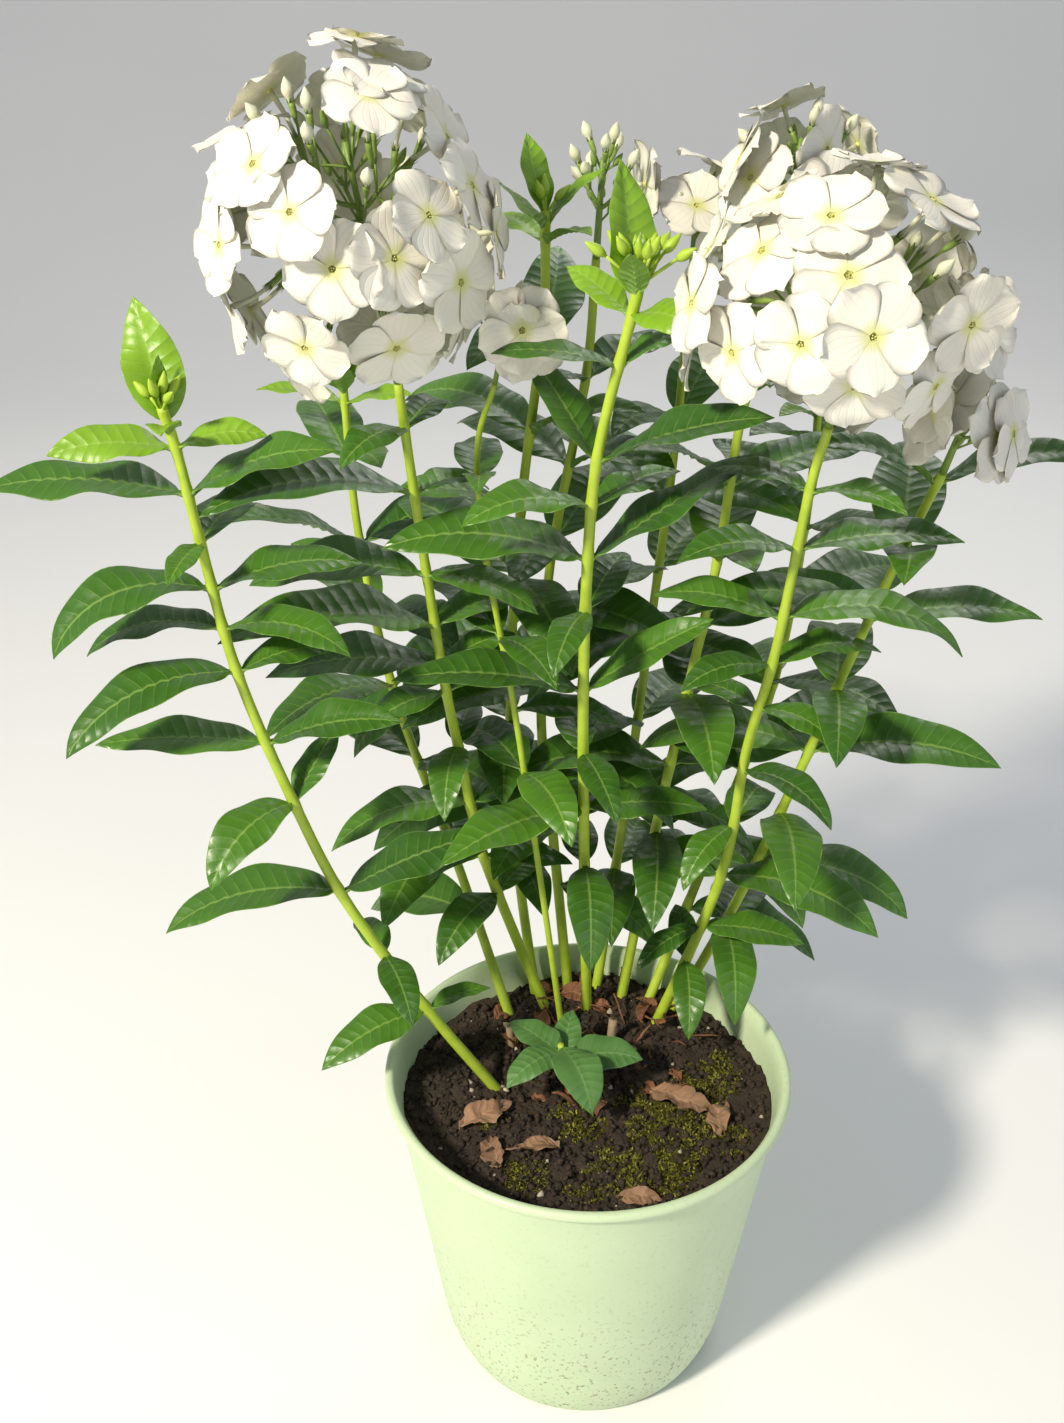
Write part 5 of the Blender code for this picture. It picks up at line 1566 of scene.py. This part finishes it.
def pot_material():
    """Pale green plastic, a little dusty, with soil splashed on its lower wall."""
    look = Look("pot_green")
    base = look.mix(look.noise(22), POT_DARK, POT_BRIGHT)
    low = look.minus(1.0, look.times(look.axes("Object")["Z"], 9.0), clamp=True)
    dirt = look.times(look.minus(look.noise(480, 2), 0.60, clamp=True), 12.0, clamp=True)
    dirt = look.times(dirt, look.plus(look.times(low, 0.9), 0.12))
    smear = look.times(look.minus(look.noise(40), 0.5, clamp=True), 2.0)
    smear = look.times(smear, look.times(low, 0.5))
    colour = look.mix(smear, look.mix(dirt, base, POT_DIRT), POT_SMEAR)
    scuffs = look.noise(90, 6)
    return look.finish(colour, scuffs, (0.36, 0.58), scuffs, 0.06, 0.5 * MM)


# Stage, in metres: each light's place, what it points at, its size, power and colour
LIGHTS = {
    "key": ((-1.35, -1.35, 1.75), (0, 0, 0.4), 0.30, 88, (1.0, 0.92, 0.76)),
    "fill": ((1.8, -1.2, 1.0), (0, 0, 0.35), 1.6, 8, (0.86, 0.93, 1.0)),
    "back": ((0.6, 1.8, 1.8), (0, 0, 0.4), 1.2, 14, (1.0, 0.98, 0.95)),
}
SKY_COLOUR, SKY_STRENGTH = (0.80, 0.86, 0.95, 1), 0.50
CAMERA_PLACE = (-0.0288, -0.5774, 0.6746)
CAMERA_LOOKS_DOWN = 26.94
CAMERA_LENS, CAMERA_SENSOR = 36.02, 36
EXPOSURE = -0.2
BACKDROP_FRONT, BACKDROP_HALF_WIDTH, BACKDROP_BEND, BACKDROP_TOP = -5.0, 9.0, 2.0, 7.0


def add_light(name, place, target, size, power, colour):
    light = bpy.data.lights.new(name, "AREA")
    light.shape, light.size, light.energy, light.color = "DISK", size, power, colour
    obj = in_scene(bpy.data.objects.new(name, light))
    obj.location = place
    obj.rotation_euler = (Vector(target) - Vector(place)).to_track_quat("-Z", "Y").to_euler()
    obj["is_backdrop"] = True


def add_backdrop():
    """A pale floor that curves up into a wall behind."""
    bend = BACKDROP_BEND
    angles = [i * math.pi / 24 for i in range(13)]
    line = [(BACKDROP_FRONT, 0.0)]
    line += [(bend + bend * math.sin(a), bend - bend * math.cos(a)) for a in angles]
    line.append((2 * bend, BACKDROP_TOP))
    verts = [(x, y, z) for y, z in line for x in (-BACKDROP_HALF_WIDTH, BACKDROP_HALF_WIDTH)]
    faces = [(2 * i, 2 * i + 1, 2 * i + 3, 2 * i + 2) for i in range(len(line) - 1)]
    mesh = bpy.data.meshes.new("floor")
    mesh.from_pydata(verts, [], faces)
    mesh.polygons.foreach_set("use_smooth", [True] * len(faces))
    floor = in_scene(bpy.data.objects.new("floor", mesh))
    look = Look("floor_pale")
    look.feed(look.shader.inputs["Base Color"], look.mix(look.noise(3), FLOOR_DARK, FLOOR_BRIGHT))
    look.shader.inputs["Roughness"].default_value = 0.9
    mesh.materials.append(look.material)
    floor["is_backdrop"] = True


def add_camera():
    camera = bpy.data.cameras.new("camera")
    camera.lens, camera.sensor_width = CAMERA_LENS, CAMERA_SENSOR
    obj = in_scene(bpy.data.objects.new("camera", camera))
    obj.location = CAMERA_PLACE
    obj.rotation_euler = (math.radians(90 - CAMERA_LOOKS_DOWN), 0, 0)
    bpy.context.scene.camera = obj


def set_stage():
    scene = bpy.context.scene
    add_backdrop()
    for name, light in LIGHTS.items():
        add_light(name, *light)
    scene.world = bpy.data.worlds.new("soft")
    scene.world.use_nodes = True
    sky = scene.world.node_tree.nodes["Background"].inputs
    sky["Color"].default_value, sky["Strength"].default_value = SKY_COLOUR, SKY_STRENGTH
    add_camera()
    scene.view_settings.view_transform = "Standard"
    scene.view_settings.look = "None"
    scene.view_settings.exposure = EXPOSURE


def dress(piece, stands_for=None):
    """Fixes a piece to the body, and hides the node that it replaces, if it replaces one."""
    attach(piece, "root")
    if stands_for:
        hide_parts(stands_for)


def main():
    low_bound, high_bound = (list(v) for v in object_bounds())
    noise.seed_set(NOISE_SEED)
    stems, heads, stubs, fallen = plan_plant()
    green, shoot_green = leaf_material("leaf_green"), leaf_material("shoot_green")
    stem_green = stem_material()
    head_materials = [petal_material(), *map(plain_material, ("calyx_green", "throat_yellow", "bud_cream"))]
    for name, stem in stems.items():
        blade = shoot_green if name == "low_shoot" else green
        dress(fine_leafy_stem(stem, [blade, stem_green]), "stem_" + name)
    for name, head in heads.items():
        dress(fine_head(head, head_materials), name)
    dress(fine_pot(pot_material()), "pot")
    ground = [plain_material(name) for name in ("peat", "moss_green", "pale_bits")]
    dress(fine_soil(ground), "soil")
    dress(fine_moss(ground[:2]))
    dress(fine_litter(leaf_material("litter_brown")))
    dry = leaf_material("dry_brown")
    for k, leaf in enumerate(fallen):
        name = f"dry_leaf_{k + 1}"
        dress(fine_dry_leaf(leaf, dry, name), name)
    tan = plain_material("stub_tan")
    for stub in stubs:
        dress(fine_stub(*stub, tan), stub[0])
    set_stage()
    return low_bound, high_bound


bounds_before = main()
